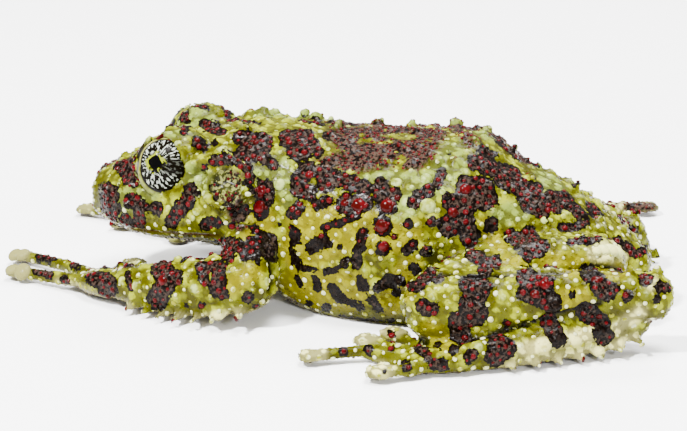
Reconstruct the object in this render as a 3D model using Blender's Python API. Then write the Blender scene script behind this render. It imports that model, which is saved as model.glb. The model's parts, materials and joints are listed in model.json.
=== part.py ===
"""Mossy frog (Theloderma corticale), a still life-size model in a resting pose.

The frog faces -Y, its left side is +X and up is +Z. Its belly, hands and feet
rest on the plane z = 0, and the origin is on that plane under the trunk.
All sizes below are millimetres. Meshes are made in metres.
"""
import math
import random
from collections import namedtuple

import bpy
import bmesh
from mathutils import Matrix, Vector
from mathutils.bvhtree import BVHTree

MM = 0.001

# Clearance between two neighbouring pieces, and where the trunk is parted
GAP = 0.3
CUT_TOLERANCE = 0.0000005
NECK_Y = -13.6
MOUTH_FRONT = Vector((0.0, -37.9, 9.1))
MOUTH_RISE = 0.085

# One cross-section of the trunk, at a place along the body
Section = namedtuple("Section", "y half top widest bottom")

TRUNK = (
    Section(-39.3, 4.9, 15.9, 11.8, 9.0),
    Section(-37.1, 7.3, 17.1, 11.7, 8.3),
    Section(-34.0, 9.5, 18.2, 11.9, 7.7),
    Section(-30.0, 11.3, 20.2, 12.3, 7.4),
    Section(-26.0, 12.6, 21.8, 12.7, 7.3),
    Section(-21.0, 13.7, 22.8, 13.0, 7.1),
    Section(-16.5, 13.7, 23.4, 12.5, 5.2),
    Section(-12.0, 13.3, 23.6, 10.2, -0.6),
    Section(-6.0, 15.3, 23.0, 9.0, -3.4),
    Section(2.0, 17.0, 22.8, 8.4, -4.0),
    Section(9.0, 16.8, 23.2, 8.6, -4.0),
    Section(14.5, 15.4, 22.9, 8.6, -3.4),
    Section(19.5, 13.4, 19.2, 8.4, -2.4),
    Section(25.0, 11.5, 16.8, 8.0, -1.2),
    Section(30.0, 9.0, 13.6, 7.4, 0.6),
    Section(34.5, 5.6, 10.6, 6.6, 2.8),
    Section(36.6, 2.8, 8.4, 6.3, 4.2),
)
SNOUT_CAP = 1.4
VENT_CAP = 1.2
TRUNK_SIDES = 24
TRUNK_RINGS = 28
TRUNK_SQUARE = 2.35

# One cross-section of a limb: its middle, half-width, and half-height
Joint = namedtuple("Joint", "x y z wide high")

# Left side paths. The right side mirrors them, or has its own path below.
UPPER_ARM = (
    Joint(9.5, -15.5, 9.6, 4.2, 4.4),
    Joint(13.5, -14.8, 8.2, 4.1, 4.3),
    Joint(16.8, -14.2, 6.6, 3.9, 4.0),
)
FOREARM = (
    Joint(17.2, -14.1, 6.0, 4.0, 4.0),
    Joint(17.3, -18.0, 5.1, 3.9, 3.9),
    Joint(16.3, -23.0, 4.2, 3.8, 3.7),
    Joint(14.6, -28.5, 3.5, 3.1, 3.0),
    Joint(12.9, -33.2, 2.9, 2.6, 2.3),
)
PALM = (
    Joint(12.4, -34.3, 2.6, 2.5, 2.1),
    Joint(10.7, -37.0, 2.2, 3.0, 1.9),
    Joint(9.2, -39.0, 1.8, 2.4, 1.4),
)
FINGERS = {
    "first": ((9.8, -35.2, 1.9), (6.3, -33.8, 1.4), (4.0, -31.8, 1.1)),
    "second": ((9.0, -36.6, 2.0), (3.4, -36.6, 1.5), (-0.6, -35.7, 1.2)),
    "third": ((8.8, -38.0, 2.0), (3.3, -44.5, 1.6), (-1.3, -52.4, 1.1)),
    "fourth": ((10.6, -37.6, 2.0), (8.5, -43.8, 1.5), (5.8, -50.6, 1.1)),
}
RIGHT_FOREARM = (
    Joint(-17.2, -14.1, 6.0, 4.0, 4.0),
    Joint(-18.0, -18.5, 5.1, 3.9, 3.9),
    Joint(-18.4, -23.5, 4.2, 3.8, 3.7),
    Joint(-18.5, -28.5, 3.5, 3.1, 3.0),
    Joint(-18.4, -33.2, 2.9, 2.6, 2.3),
)
RIGHT_PALM = (
    Joint(-18.4, -34.4, 2.6, 2.5, 2.1),
    Joint(-18.9, -37.0, 2.2, 3.0, 1.9),
    Joint(-19.4, -39.0, 1.8, 2.4, 1.4),
)
RIGHT_FINGERS = {
    "first": ((-18.2, -35.2, 1.9), (-16.8, -34.8, 1.4), (-15.4, -33.6, 1.1)),
    "second": ((-18.9, -37.4, 2.0), (-19.5, -40.6, 1.5), (-20.0, -43.2, 1.1)),
    "third": ((-19.4, -37.8, 2.0), (-23.2, -44.4, 1.6), (-25.6, -50.4, 1.1)),
    "fourth": ((-20.2, -37.0, 2.0), (-25.4, -41.8, 1.5), (-30.2, -45.2, 1.1)),
}
THIGH = (
    Joint(8.5, 31.0, 7.9, 4.9, 4.8),
    Joint(12.6, 25.0, 8.2, 5.4, 5.3),
    Joint(17.5, 18.0, 7.9, 5.0, 4.9),
    Joint(22.0, 12.6, 7.3, 4.2, 4.2),
)
SHANK = (
    Joint(24.6, 11.7, 6.9, 4.4, 4.5),
    Joint(23.4, 17.5, 7.2, 4.6, 4.6),
    Joint(21.3, 25.5, 7.8, 3.8, 3.9),
    Joint(19.2, 33.0, 8.0, 3.0, 3.1),
    Joint(17.4, 39.8, 7.7, 2.8, 3.1),
)
TARSUS = (
    Joint(16.4, 37.2, 4.7, 2.3, 3.0),
    Joint(19.0, 33.6, 3.6, 2.6, 2.7),
    Joint(23.9, 26.2, 2.7, 2.6, 2.6),
    Joint(28.2, 18.6, 2.3, 2.5, 2.4),
)
SOLE = (
    Joint(28.9, 17.2, 2.1, 2.5, 2.1),
    Joint(30.0, 13.4, 1.7, 3.0, 1.7),
    Joint(30.2, 10.8, 1.4, 2.8, 1.3),
)
TOES = {
    "first": ((27.6, 15.6, 1.3), (24.6, 15.0, 1.0), (21.9, 13.4, 0.9)),
    "second": ((27.8, 13.8, 1.3), (24.0, 10.2, 0.9), (20.4, 6.2, 1.1)),
    "third": ((28.6, 12.2, 1.4), (26.3, 7.6, 1.1), (23.8, 3.4, 1.2)),
    "fourth": ((29.8, 11.4, 1.6), (28.5, 4.6, 1.6), (30.7, -2.4, 1.2)),
    "fifth": ((31.2, 12.8, 1.6), (33.8, 10.8, 1.5), (34.9, 7.2, 1.3)),
}
RIGHT_THIGH = (
    Joint(-8.5, 29.4, 7.2, 4.7, 4.4),
    Joint(-13.4, 24.0, 7.6, 5.2, 4.9),
    Joint(-19.2, 16.5, 7.9, 5.0, 4.9),
    Joint(-24.2, 10.0, 7.3, 4.2, 4.2),
)
RIGHT_SHANK = (
    Joint(-26.9, 8.2, 6.9, 4.4, 4.5),
    Joint(-25.4, 14.0, 6.9, 4.6, 4.6),
    Joint(-21.9, 21.6, 6.8, 3.8, 3.9),
    Joint(-18.4, 28.4, 6.1, 3.0, 3.0),
    Joint(-15.6, 33.2, 5.6, 2.7, 2.8),
)
RIGHT_TARSUS = (
    Joint(-16.2, 34.0, 3.4, 2.2, 2.9),
    Joint(-21.0, 32.6, 2.9, 2.5, 2.8),
    Joint(-27.0, 30.2, 2.5, 2.5, 2.5),
    Joint(-33.0, 27.2, 2.3, 2.4, 2.3),
)
RIGHT_SOLE = (
    Joint(-34.2, 26.6, 2.1, 2.4, 2.1),
    Joint(-37.6, 24.8, 1.7, 3.0, 1.7),
    Joint(-40.0, 23.4, 1.4, 2.8, 1.3),
)
RIGHT_TOES = {
    "first": ((-34.8, 24.4, 1.6), (-33.6, 20.8, 1.3), (-33.2, 17.6, 1.1)),
    "second": ((-36.4, 23.6, 1.6), (-36.6, 18.4, 1.3), (-37.4, 13.4, 1.1)),
    "third": ((-38.0, 23.2, 1.6), (-40.6, 17.2, 1.4), (-43.8, 11.8, 1.2)),
    "fourth": ((-39.4, 23.8, 1.6), (-45.6, 20.6, 1.6), (-51.6, 17.6, 1.2)),
    "fifth": ((-38.2, 25.8, 1.6), (-41.6, 28.6, 1.5), (-43.9, 33.1, 1.3)),
}
LIMB_SIDES = 12
LIMB_RINGS = 8
SHORT_RINGS = 5
SLIM_SIDES = 10
LIMB_CAP = 0.85
END_ANGLES = (math.radians(62), math.radians(32))
LIMB_SQUARE = 2.1

# Fingers and toes end in round discs
DIGIT_SIDES = 6
DIGIT_RINGS = 7
DIGIT_ROOT_WIDE = 1.45
DIGIT_ROOT_HIGH = 1.25
DIGIT_KNUCKLE = 1.1
FINGER_THICK = 0.95
TOE_THICK = 0.85
DISC_WIDE = 1.92
DISC_HIGH = 0.82
DISC_LONG = 4.1
DISC_HALF = 0.21
DISC_CAP = 0.6
NECK_BACK = 0.5
WEB_THICK = 0.6
WEB_REACH = 0.12
WEB_HOLLOW = 0.3
WEB_LEVEL = 0.2

# Eyes: the left ball's middle and radius, the lid bulge over it, and its rim
EYE_MIDDLE = Vector((8.2, -28.1, 18.7))
EYE_RADIUS = 4.1
LID_SHIFT = Vector((-1.5, 1.7, 0.6))
LID_RADII = Vector((4.7, 4.9, 4.5))
BALL_SEGMENTS = 14
BALL_RINGS = 7
EYE_OUTWARD = Vector((0.93, -0.06, 0.30))
RIM_RADIUS = 3.55
RIM_THICK = 0.5
RIM_SHIFT = 2.05
RING_SEGMENTS = 16
RING_SIDES = 5

# Ear drum ring, on the side of the head behind the eye
EARDRUM = Vector((13.4, -18.4, 17.6))
EARDRUM_OUTWARD = Vector((0.86, 0.05, 0.50))
EARDRUM_RADIUS = 2.7
EARDRUM_RIM = 0.45
EARDRUM_SEGMENTS = 12
FOLD_PATH = (
    Vector((11.6, -23.4, 19.6)),
    Vector((11.6, -20.0, 21.2)),
    Vector((12.6, -16.6, 20.6)),
    Vector((13.9, -14.6, 17.6)),
)
FOLD_THICK = 0.9
FOLD_RINGS = 7
FOLD_SIDES = 6

NOSTRIL = Vector((4.3, -38.5, 15.1))
NOSTRIL_RADIUS = 0.42
NOSTRIL_DEPTH = 1.3
NOSTRIL_SIDES = 8
NOSTRIL_OUTWARD = Vector((0.55, -0.75, 0.35))

# Warts and tubercles: base radius, height and tip radius of each size
Wart = namedtuple("Wart", "radius height tip")
SMALL_WART = Wart(0.75, 0.60, 0.34)
ROUND_WART = Wart(1.00, 0.75, 0.50)
POINTED_WART = Wart(1.15, 1.25, 0.30)
BROAD_WART = Wart(1.60, 1.05, 0.80)
CONE_WART = Wart(2.00, 1.60, 0.50)
BROW_WART = Wart(1.90, 1.35, 0.65)
WART_SIDES = 6
WART_SINK = 0.7
TRIES_PER_WART = 14
SHARP_EDGE = math.radians(50)
WART_CLEARANCE = 0.45
WART_SEED = 41
SNOUT_BARE_Y = -39.5

# Raised places that name this animal, by the surface point that they sit on
LANDMARK_WARTS = {
    "torso": (
        (POINTED_WART, (-5.6, -11.6, 24.0)), (BROAD_WART, (-4.4, -9.5, 24.0)),
        (BROAD_WART, (-5.0, -1.1, 24.0)), (POINTED_WART, (-5.0, 3.7, 24.0)),
        (BROAD_WART, (9.5, 9.2, 22.4)), (BROAD_WART, (-9.5, 9.2, 22.4)),
        (ROUND_WART, (9.0, 12.0, 22.0)), (ROUND_WART, (-7.4, 14.0, 22.5)),
        (POINTED_WART, (-3.0, 18.0, 20.5)), (POINTED_WART, (3.0, 21.5, 19.0)),
        (POINTED_WART, (-3.0, 27.0, 16.0)), (ROUND_WART, (2.6, 31.0, 13.0)),
        (ROUND_WART, (16.0, 1.6, 15.2)), (ROUND_WART, (16.6, -1.8, 16.0)),
        (ROUND_WART, (-16.0, 1.6, 15.2)), (ROUND_WART, (-16.6, -1.8, 16.0)),
        (ROUND_WART, (17.0, 1.8, 12.4)), (ROUND_WART, (-17.0, 1.8, 12.4)),
        (BROAD_WART, (8.4, 31.4, 11.2)), (BROAD_WART, (-8.4, 31.4, 11.2)),
    ),
    "head": (
        (BROW_WART, (6.0, -23.9, 25.0)), (BROW_WART, (-6.0, -23.9, 25.0)),
        (ROUND_WART, (6.4, -27.2, 25.0)), (ROUND_WART, (-6.4, -27.2, 25.0)),
        (SMALL_WART, (5.0, -30.0, 24.0)), (SMALL_WART, (-5.0, -30.0, 24.0)),
        (ROUND_WART, (5.6, -19.6, 23.5)), (BROAD_WART, (-5.6, -19.6, 24.0)),
        (CONE_WART, (-5.0, -17.6, 24.0)), (CONE_WART, (5.0, -17.6, 24.0)),
        (BROAD_WART, (-5.6, -15.4, 24.0)), (ROUND_WART, (5.6, -15.2, 24.0)),
        (ROUND_WART, (0.0, -23.0, 23.0)), (SMALL_WART, (0.0, -36.6, 18.0)),
        (ROUND_WART, (12.6, -23.0, 13.0)), (ROUND_WART, (-12.6, -23.0, 13.0)),
    ),
}

# How many warts are scattered on a piece, their sizes, and how far apart
Scatter = namedtuple("Scatter", "count spacing warts lowest_slope")
SCATTERED_WARTS = {
    "torso": Scatter(46, 4.3, (SMALL_WART, ROUND_WART, POINTED_WART), -0.2),
    "head": Scatter(20, 4.0, (SMALL_WART, ROUND_WART), 0.0),
    "forearm": Scatter(9, 3.4, (SMALL_WART, POINTED_WART), 0.05),
    "upper_arm": Scatter(2, 3.6, (SMALL_WART,), 0.1),
    "thigh": Scatter(9, 4.0, (SMALL_WART, ROUND_WART), 0.0),
    "shank": Scatter(12, 3.8, (ROUND_WART, POINTED_WART), 0.0),
    "tarsus": Scatter(5, 3.6, (SMALL_WART,), 0.1),
}

# Scalloped fringe: flat points along the outer edge of a forearm or tarsus
FRINGE_POINTS = 8
FRINGE_HEIGHT = 0.8
FRINGE_THICK = 0.5
FRINGE_REACH = 1.5
FRINGE_LEVEL = 1.0
FRINGE_DROP = 0.85
FRINGE_ROOT = 0.45
FRINGE_HALF_STEP = 0.46
OUTER_SIDE = {"left": -1, "right": 1}

# Skin colours, for the plain materials of the solids
MOSS = (0.24, 0.30, 0.08)
LIMB_GREEN = (0.38, 0.38, 0.12)
JAW_CREAM = (0.55, 0.52, 0.30)
EYE_BLACK = (0.02, 0.02, 0.02)


def clear_scene():
    """Remove every object that a new scene starts with."""
    for thing in list(bpy.data.objects):
        bpy.data.objects.remove(thing, do_unlink=True)


def new_collection(name):
    """Make a collection in the scene."""
    collection = bpy.data.collections.new(name)
    bpy.context.scene.collection.children.link(collection)
    return collection


def skin_material(name, colour, roughness=0.35):
    """Make a plain Principled material."""
    material = bpy.data.materials.new(name)
    material.use_nodes = True
    shader = material.node_tree.nodes["Principled BSDF"]
    shader.inputs["Base Color"].default_value = (*colour, 1.0)
    shader.inputs["Roughness"].default_value = roughness
    shader.inputs["Metallic"].default_value = 0.0
    return material


def smooth_value(before, start, end, after, share):
    """Blend between start and end on a smooth curve through four values."""
    slope_start = (end - before) / 2
    slope_end = (after - start) / 2
    square = share * share
    cube = square * share
    return (
        (2 * cube - 3 * square + 1) * start
        + (cube - 2 * square + share) * slope_start
        + (3 * square - 2 * cube) * end
        + (cube - square) * slope_end
    )


def smooth_rows(rows, count):
    """Resample rows of numbers at even steps along a smooth curve."""
    lengths = [0.0]
    for here, there in zip(rows, rows[1:]):
        step = math.dist(here[:3], there[:3])
        lengths.append(lengths[-1] + step)
    result = []
    for index in range(count):
        place = lengths[-1] * index / (count - 1)
        span = 0
        while span < len(rows) - 2 and place > lengths[span + 1]:
            span += 1
        share = (place - lengths[span]) / (lengths[span + 1] - lengths[span])
        before = rows[max(span - 1, 0)]
        after = rows[min(span + 2, len(rows) - 1)]
        values = zip(before, rows[span], rows[span + 1], after)
        result.append([smooth_value(a, b, c, d, share) for a, b, c, d in values])
    return result


def signed_power(value, exponent):
    """Raise the size of a value to a power and keep its sign."""
    return math.copysign(abs(value) ** exponent, value)


def ring_points(centre, side, up, half, rise, drop, sides, square):
    """Points of one rounded section, wider than an ellipse in its corners."""
    points = []
    for index in range(sides):
        angle = 2 * math.pi * (index + 0.5) / sides
        across = half * signed_power(math.cos(angle), 2 / square)
        height = signed_power(math.sin(angle), 2 / square)
        height *= rise if height > 0 else drop
        points.append(centre + side * across + up * height)
    return points


def loft(rings, first_tip, last_tip):
    """Join rings of points, and close both ends on a tip."""
    mesh = bmesh.new()
    loops = [[mesh.verts.new(point * MM) for point in ring] for ring in rings]
    sides = len(loops[0])
    for lower, upper in zip(loops, loops[1:]):
        for index in range(sides):
            following = (index + 1) % sides
            quad = (lower[index], lower[following], upper[following], upper[index])
            mesh.faces.new(quad)
    for loop, tip in ((loops[0], first_tip), (loops[-1], last_tip)):
        end = mesh.verts.new(tip * MM)
        for index in range(sides):
            mesh.faces.new((loop[index], loop[(index + 1) % sides], end))
    bmesh.ops.recalc_face_normals(mesh, faces=mesh.faces)
    return mesh


def end_steps(cap):
    """Advance and scale of the rings that round off an end."""
    for angle in END_ANGLES:
        yield cap * math.cos(angle), math.sin(angle)


def trunk_form(grow=0.0):
    """Head, neck and trunk as one loft from the snout to the vent."""
    rows = [(0.0, s.y, 0.0, s.half, s.top, s.widest, s.bottom) for s in TRUNK]
    side = Vector((1, 0, 0))
    up = Vector((0, 0, 1))
    rings = []
    rows = smooth_rows(rows, TRUNK_RINGS)
    ends = ((rows[0], -1, SNOUT_CAP), (rows[-1], 1, VENT_CAP))
    caps = []
    for row, direction, cap in ends:
        cap_rings = []
        for advance, scale in end_steps(cap + grow):
            centre = Vector((0, row[1] + direction * advance, row[5]))
            half = (row[3] + grow) * scale
            rise = (row[4] - row[5] + grow) * scale
            drop = (row[5] - row[6] + grow) * scale
            cap_rings.append(
                ring_points(centre, side, up, half, rise, drop, TRUNK_SIDES, TRUNK_SQUARE)
            )
        tip = Vector((0, row[1] + direction * (cap + grow), row[5]))
        caps.append((cap_rings, tip))
    for row in rows:
        centre = Vector((0, row[1], row[5]))
        rings.append(
            ring_points(
                centre, side, up, row[3] + grow, row[4] - row[5] + grow,
                row[5] - row[6] + grow, TRUNK_SIDES, TRUNK_SQUARE,
            )
        )
    rings = caps[0][0][::-1] + rings + caps[1][0]
    return loft(rings, caps[0][1], caps[1][1])


def limb_form(path, rings=LIMB_RINGS, sides=LIMB_SIDES, grow=0.0, cap_share=LIMB_CAP):
    """One length of a limb, lofted along its path with rounded ends."""
    rows = smooth_rows([tuple(joint) for joint in path], rings)
    centres = [Vector(row[:3]) for row in rows]
    loops = []
    frames = []
    for index, centre in enumerate(centres):
        ahead = centres[min(index + 1, len(centres) - 1)]
        behind = centres[max(index - 1, 0)]
        along = (ahead - behind).normalized()
        side = along.cross(Vector((0, 0, 1))).normalized()
        up = side.cross(along)
        frames.append((along, side, up))
        high = rows[index][4] + grow
        loops.append(
            ring_points(centre, side, up, rows[index][3] + grow, high, high, sides, LIMB_SQUARE)
        )
    ends = []
    for index, direction in ((0, -1), (-1, 1)):
        along, side, up = frames[index]
        cap = rows[index][3] * cap_share + grow
        cap_loops = []
        for advance, scale in end_steps(cap):
            centre = centres[index] + along * direction * advance
            half = (rows[index][3] + grow) * scale
            high = (rows[index][4] + grow) * scale
            cap_loops.append(ring_points(centre, side, up, half, high, high, sides, LIMB_SQUARE))
        ends.append((cap_loops, centres[index] + along * direction * cap))
    loops = ends[0][0][::-1] + loops + ends[1][0]
    return loft(loops, ends[0][1], ends[1][1])


def digit_form(points, thick):
    """A finger or toe: a slim tube that ends in a round, flat disc."""
    root, middle, tip = (Vector(point) for point in points)
    along = (tip - middle).normalized()
    neck = tip - along * DISC_LONG * NECK_BACK
    disc_back = tip - along * DISC_LONG * DISC_HALF
    disc_front = tip + along * DISC_LONG * DISC_HALF
    path = (
        Joint(*root, thick * DIGIT_ROOT_WIDE, thick * DIGIT_ROOT_HIGH),
        Joint(*middle, thick * DIGIT_KNUCKLE, thick),
        Joint(*neck, thick, thick),
        Joint(*disc_back, DISC_WIDE, DISC_HIGH),
        Joint(*disc_front, DISC_WIDE, DISC_HIGH),
    )
    return limb_form(path, DIGIT_RINGS, DIGIT_SIDES, cap_share=DISC_CAP)


def web_form(first, second):
    """The thin web between two toes, with a hollow front edge."""
    root = (Vector(first[0]) + Vector(second[0])) / 2
    first_reach = Vector(first[1]).lerp(Vector(first[2]), WEB_REACH)
    second_reach = Vector(second[1]).lerp(Vector(second[2]), WEB_REACH)
    hollow = (first_reach + second_reach) / 2
    hollow = hollow.lerp(root, WEB_HOLLOW)
    outline = [
        Vector(first[0]), Vector(first[1]), first_reach,
        hollow, second_reach, Vector(second[1]), Vector(second[0]),
    ]
    mesh = bmesh.new()
    corners = [mesh.verts.new(Vector((p.x, p.y, WEB_LEVEL)) * MM) for p in outline]
    face = mesh.faces.new(corners)
    raised = bmesh.ops.extrude_face_region(mesh, geom=[face])
    lifted = [item for item in raised["geom"] if isinstance(item, bmesh.types.BMVert)]
    bmesh.ops.translate(mesh, verts=lifted, vec=(0, 0, WEB_THICK * MM))
    bmesh.ops.recalc_face_normals(mesh, faces=mesh.faces)
    bmesh.ops.triangulate(mesh, faces=mesh.faces)
    return mesh


def ball_form(centre, radii, segments=BALL_SEGMENTS, rings=BALL_RINGS):
    """An ellipsoid about a point."""
    mesh = bmesh.new()
    bmesh.ops.create_uvsphere(mesh, u_segments=segments, v_segments=rings, radius=MM)
    place = Matrix.Translation(Vector(centre) * MM) @ Matrix.Diagonal((*radii, 1))
    bmesh.ops.transform(mesh, matrix=place, verts=mesh.verts)
    return mesh


def ring_form(centre, outward, radius, thick, segments=RING_SEGMENTS, sides=RING_SIDES):
    """A rounded ring facing outward, made by spinning a small circle."""
    mesh = bmesh.new()
    circle = bmesh.ops.create_circle(mesh, segments=sides, radius=thick * MM)
    stand = Matrix.Translation((radius * MM, 0, 0)) @ Matrix.Rotation(math.pi / 2, 4, "X")
    bmesh.ops.transform(mesh, matrix=stand, verts=circle["verts"])
    bmesh.ops.spin(
        mesh, geom=mesh.verts[:] + mesh.edges[:], cent=(0, 0, 0), axis=(0, 0, 1),
        dvec=(0, 0, 0), angle=2 * math.pi, steps=segments, use_merge=True,
    )
    turn = Vector((0, 0, 1)).rotation_difference(outward.normalized()).to_matrix().to_4x4()
    place = Matrix.Translation(Vector(centre) * MM) @ turn
    bmesh.ops.transform(mesh, matrix=place, verts=mesh.verts)
    bmesh.ops.remove_doubles(mesh, verts=mesh.verts, dist=0.00001)
    bmesh.ops.recalc_face_normals(mesh, faces=mesh.faces)
    return mesh


def mirrored(point):
    """The same place on the frog's right side."""
    return Vector((-point[0], point[1], point[2]))


def mirrored_path(path):
    """The same limb path on the frog's right side."""
    return tuple(joint._replace(x=-joint.x) for joint in path)


def make_object(name, mesh, collection, material=None):
    """Turn a bmesh into an object in a collection."""
    data = bpy.data.meshes.new(name)
    mesh.to_mesh(data)
    mesh.free()
    thing = bpy.data.objects.new(name, data)
    if material:
        data.materials.append(material)
    collection.objects.link(thing)
    return thing


def apply_boolean(thing, operation, pieces, solver="EXACT"):
    """Join or cut an object with closed meshes, and apply the result."""
    tools = new_collection("shaping_pieces")
    for number, piece in enumerate(pieces):
        tool = make_object(f"piece_{number}", piece, tools)
        tool.hide_render = True
        tool.display_type = "WIRE"
    change = thing.modifiers.new("shape", "BOOLEAN")
    change.operation = operation
    change.solver = solver
    change.operand_type = "COLLECTION"
    change.collection = tools
    bpy.context.view_layer.update()
    evaluated = thing.evaluated_get(bpy.context.evaluated_depsgraph_get())
    result = bpy.data.meshes.new_from_object(evaluated)
    thing.modifiers.clear()
    thing.data = result
    for tool in list(tools.objects):
        bpy.data.objects.remove(tool, do_unlink=True)
    bpy.data.collections.remove(tools)


def faces_in_one_surface(start, seen):
    """All faces connected to a face."""
    surface = []
    queue = [start]
    seen.add(start.index)
    while queue:
        face = queue.pop()
        surface.append(face)
        for edge in face.edges:
            for other in edge.link_faces:
                if other.index not in seen:
                    seen.add(other.index)
                    queue.append(other)
    return surface


def keep_largest_surface(thing):
    """Keep only the largest closed surface of a mesh."""
    mesh = bmesh.new()
    mesh.from_mesh(thing.data)
    bmesh.ops.remove_doubles(mesh, verts=mesh.verts, dist=0.0000001)
    mesh.faces.ensure_lookup_table()
    mesh.faces.index_update()
    seen = set()
    surfaces = []
    for face in mesh.faces:
        if face.index not in seen:
            surfaces.append(faces_in_one_surface(face, seen))
    surfaces.sort(key=lambda surface: sum(face.calc_area() for face in surface))
    scraps = [face for surface in surfaces[:-1] for face in surface]
    bmesh.ops.delete(mesh, geom=scraps, context="FACES")
    mesh.to_mesh(thing.data)
    mesh.free()


def part_by_plane(mesh, point, normal):
    """Keep the side of a closed mesh that the normal points to."""
    whole = mesh.verts[:] + mesh.edges[:] + mesh.faces[:]
    bmesh.ops.bisect_plane(
        mesh, geom=whole, plane_co=point * MM, plane_no=-normal,
        clear_outer=True, dist=CUT_TOLERANCE,
    )
    rim = [edge for edge in mesh.edges if edge.is_boundary]
    bmesh.ops.holes_fill(mesh, edges=rim)


def flatten_on_floor(thing):
    """Cut away what lies under the floor and close the flat."""
    mesh = bmesh.new()
    mesh.from_mesh(thing.data)
    part_by_plane(mesh, Vector(), Vector((0, 0, 1)))
    mesh.to_mesh(thing.data)
    mesh.free()


def finish_mesh(thing):
    """Split every face into triangles and shade the object smooth."""
    keep_largest_surface(thing)
    mesh = bmesh.new()
    mesh.from_mesh(thing.data)
    bmesh.ops.triangulate(mesh, faces=mesh.faces)
    bmesh.ops.recalc_face_normals(mesh, faces=mesh.faces)
    mesh.to_mesh(thing.data)
    mesh.free()
    thing.data.shade_smooth()
    thing.data.set_sharp_from_angle(angle=SHARP_EDGE)


def wart_form(wart, place, normal):
    """One tubercle: a blunt cone standing on the surface, its root sunk in."""
    mesh = bmesh.new()
    bmesh.ops.create_cone(
        mesh, cap_ends=True, segments=WART_SIDES, radius1=wart.radius * MM,
        radius2=wart.tip * MM, depth=(wart.height + WART_SINK) * MM,
    )
    lift = (wart.height - WART_SINK) / 2 * MM
    turn = Vector((0, 0, 1)).rotation_difference(normal).to_matrix().to_4x4()
    stand = Matrix.Translation(place) @ turn @ Matrix.Translation((0, 0, lift))
    bmesh.ops.transform(mesh, matrix=stand, verts=mesh.verts)
    return mesh


def surface_tree(thing):
    """A search tree over the faces of an object."""
    mesh = bmesh.new()
    mesh.from_mesh(thing.data)
    tree = BVHTree.FromBMesh(mesh)
    mesh.free()
    return tree


def is_clear(place, normal, wart, others):
    """True where a wart keeps off every other piece, the floor and the snout's tip."""
    tip = place + normal * wart.height * MM
    if min(place.z, tip.z) < (wart.radius + WART_CLEARANCE) * MM:
        return False
    if place.y < SNOUT_BARE_Y * MM:
        return False
    reach = (wart.radius + WART_CLEARANCE) * MM
    for tree in others:
        for point in (place, tip):
            if tree.find_nearest(point, reach)[0] is not None:
                return False
    return True


def scattered_places(thing, scatter, taken, draw):
    """Seeded places on a surface that keep a spacing between them."""
    faces = [face for face in thing.data.polygons if face.normal.z > scatter.lowest_slope]
    weights = [face.area for face in faces]
    places = []
    for face in draw.choices(faces, weights, k=scatter.count * TRIES_PER_WART):
        if len(places) >= scatter.count:
            break
        corners = [thing.data.vertices[index].co for index in face.vertices[:3]]
        first, second = sorted((draw.random(), draw.random()))
        shares = (first, second - first, 1 - second)
        place = sum((corner * share for corner, share in zip(corners, shares)), Vector())
        spacing = scatter.spacing * MM
        if any((place - other).length < spacing for other in taken + places):
            continue
        places.append(place)
    return places


def wart_kind(thing):
    """The name of a piece without its side."""
    return thing.name.removesuffix("_left").removesuffix("_right")


def add_warts(thing, others, draw):
    """Fuse the landmark warts and the scattered ones onto a piece."""
    kind = wart_kind(thing)
    tree = surface_tree(thing)
    chosen = []
    for wart, spot in LANDMARK_WARTS.get(kind, ()):
        place, normal = tree.find_nearest(Vector(spot) * MM)[:2]
        chosen.append((wart, place, normal))
    scatter = SCATTERED_WARTS[kind]
    taken = [place for _, place, _ in chosen]
    for spot in scattered_places(thing, scatter, taken, draw):
        place, normal = tree.find_nearest(spot)[:2]
        chosen.append((draw.choice(scatter.warts), place, normal))
    forms = [
        wart_form(wart, place, normal)
        for wart, place, normal in chosen if is_clear(place, normal, wart, others)
    ]
    if forms:
        apply_boolean(thing, "UNION", forms)
        keep_largest_surface(thing)


def fringe_forms(path, outer_side):
    """Flat triangular points along the outer lower edge of a limb."""
    rows = smooth_rows([tuple(joint) for joint in path], FRINGE_POINTS * 2 + 1)
    forms = []
    for index in range(1, FRINGE_POINTS * 2 - 1, 2):
        behind, here, ahead = (Vector(rows[index + step][:3]) for step in (-1, 0, 1))
        along = (ahead - behind).normalized()
        along.z = 0
        outward = Vector((along.y, -along.x, 0)).normalized() * outer_side
        half = rows[index][3]
        inner = here + outward * half * FRINGE_ROOT
        tip = here + outward * (half + FRINGE_REACH)
        step = (ahead - behind) * FRINGE_HALF_STEP
        corners = (inner - step, inner + step, tip)
        mesh = bmesh.new()
        level = max(FRINGE_LEVEL, here.z - rows[index][4] * FRINGE_DROP) - FRINGE_THICK / 2
        flat = [mesh.verts.new(Vector((p.x, p.y, level)) * MM) for p in corners]
        face = mesh.faces.new(flat)
        raised = bmesh.ops.extrude_face_region(mesh, geom=[face])
        lifted = [item for item in raised["geom"] if isinstance(item, bmesh.types.BMVert)]
        bmesh.ops.translate(mesh, verts=lifted, vec=(0, 0, FRINGE_HEIGHT * MM))
        bmesh.ops.recalc_face_normals(mesh, faces=mesh.faces)
        forms.append(mesh)
    return forms


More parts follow.
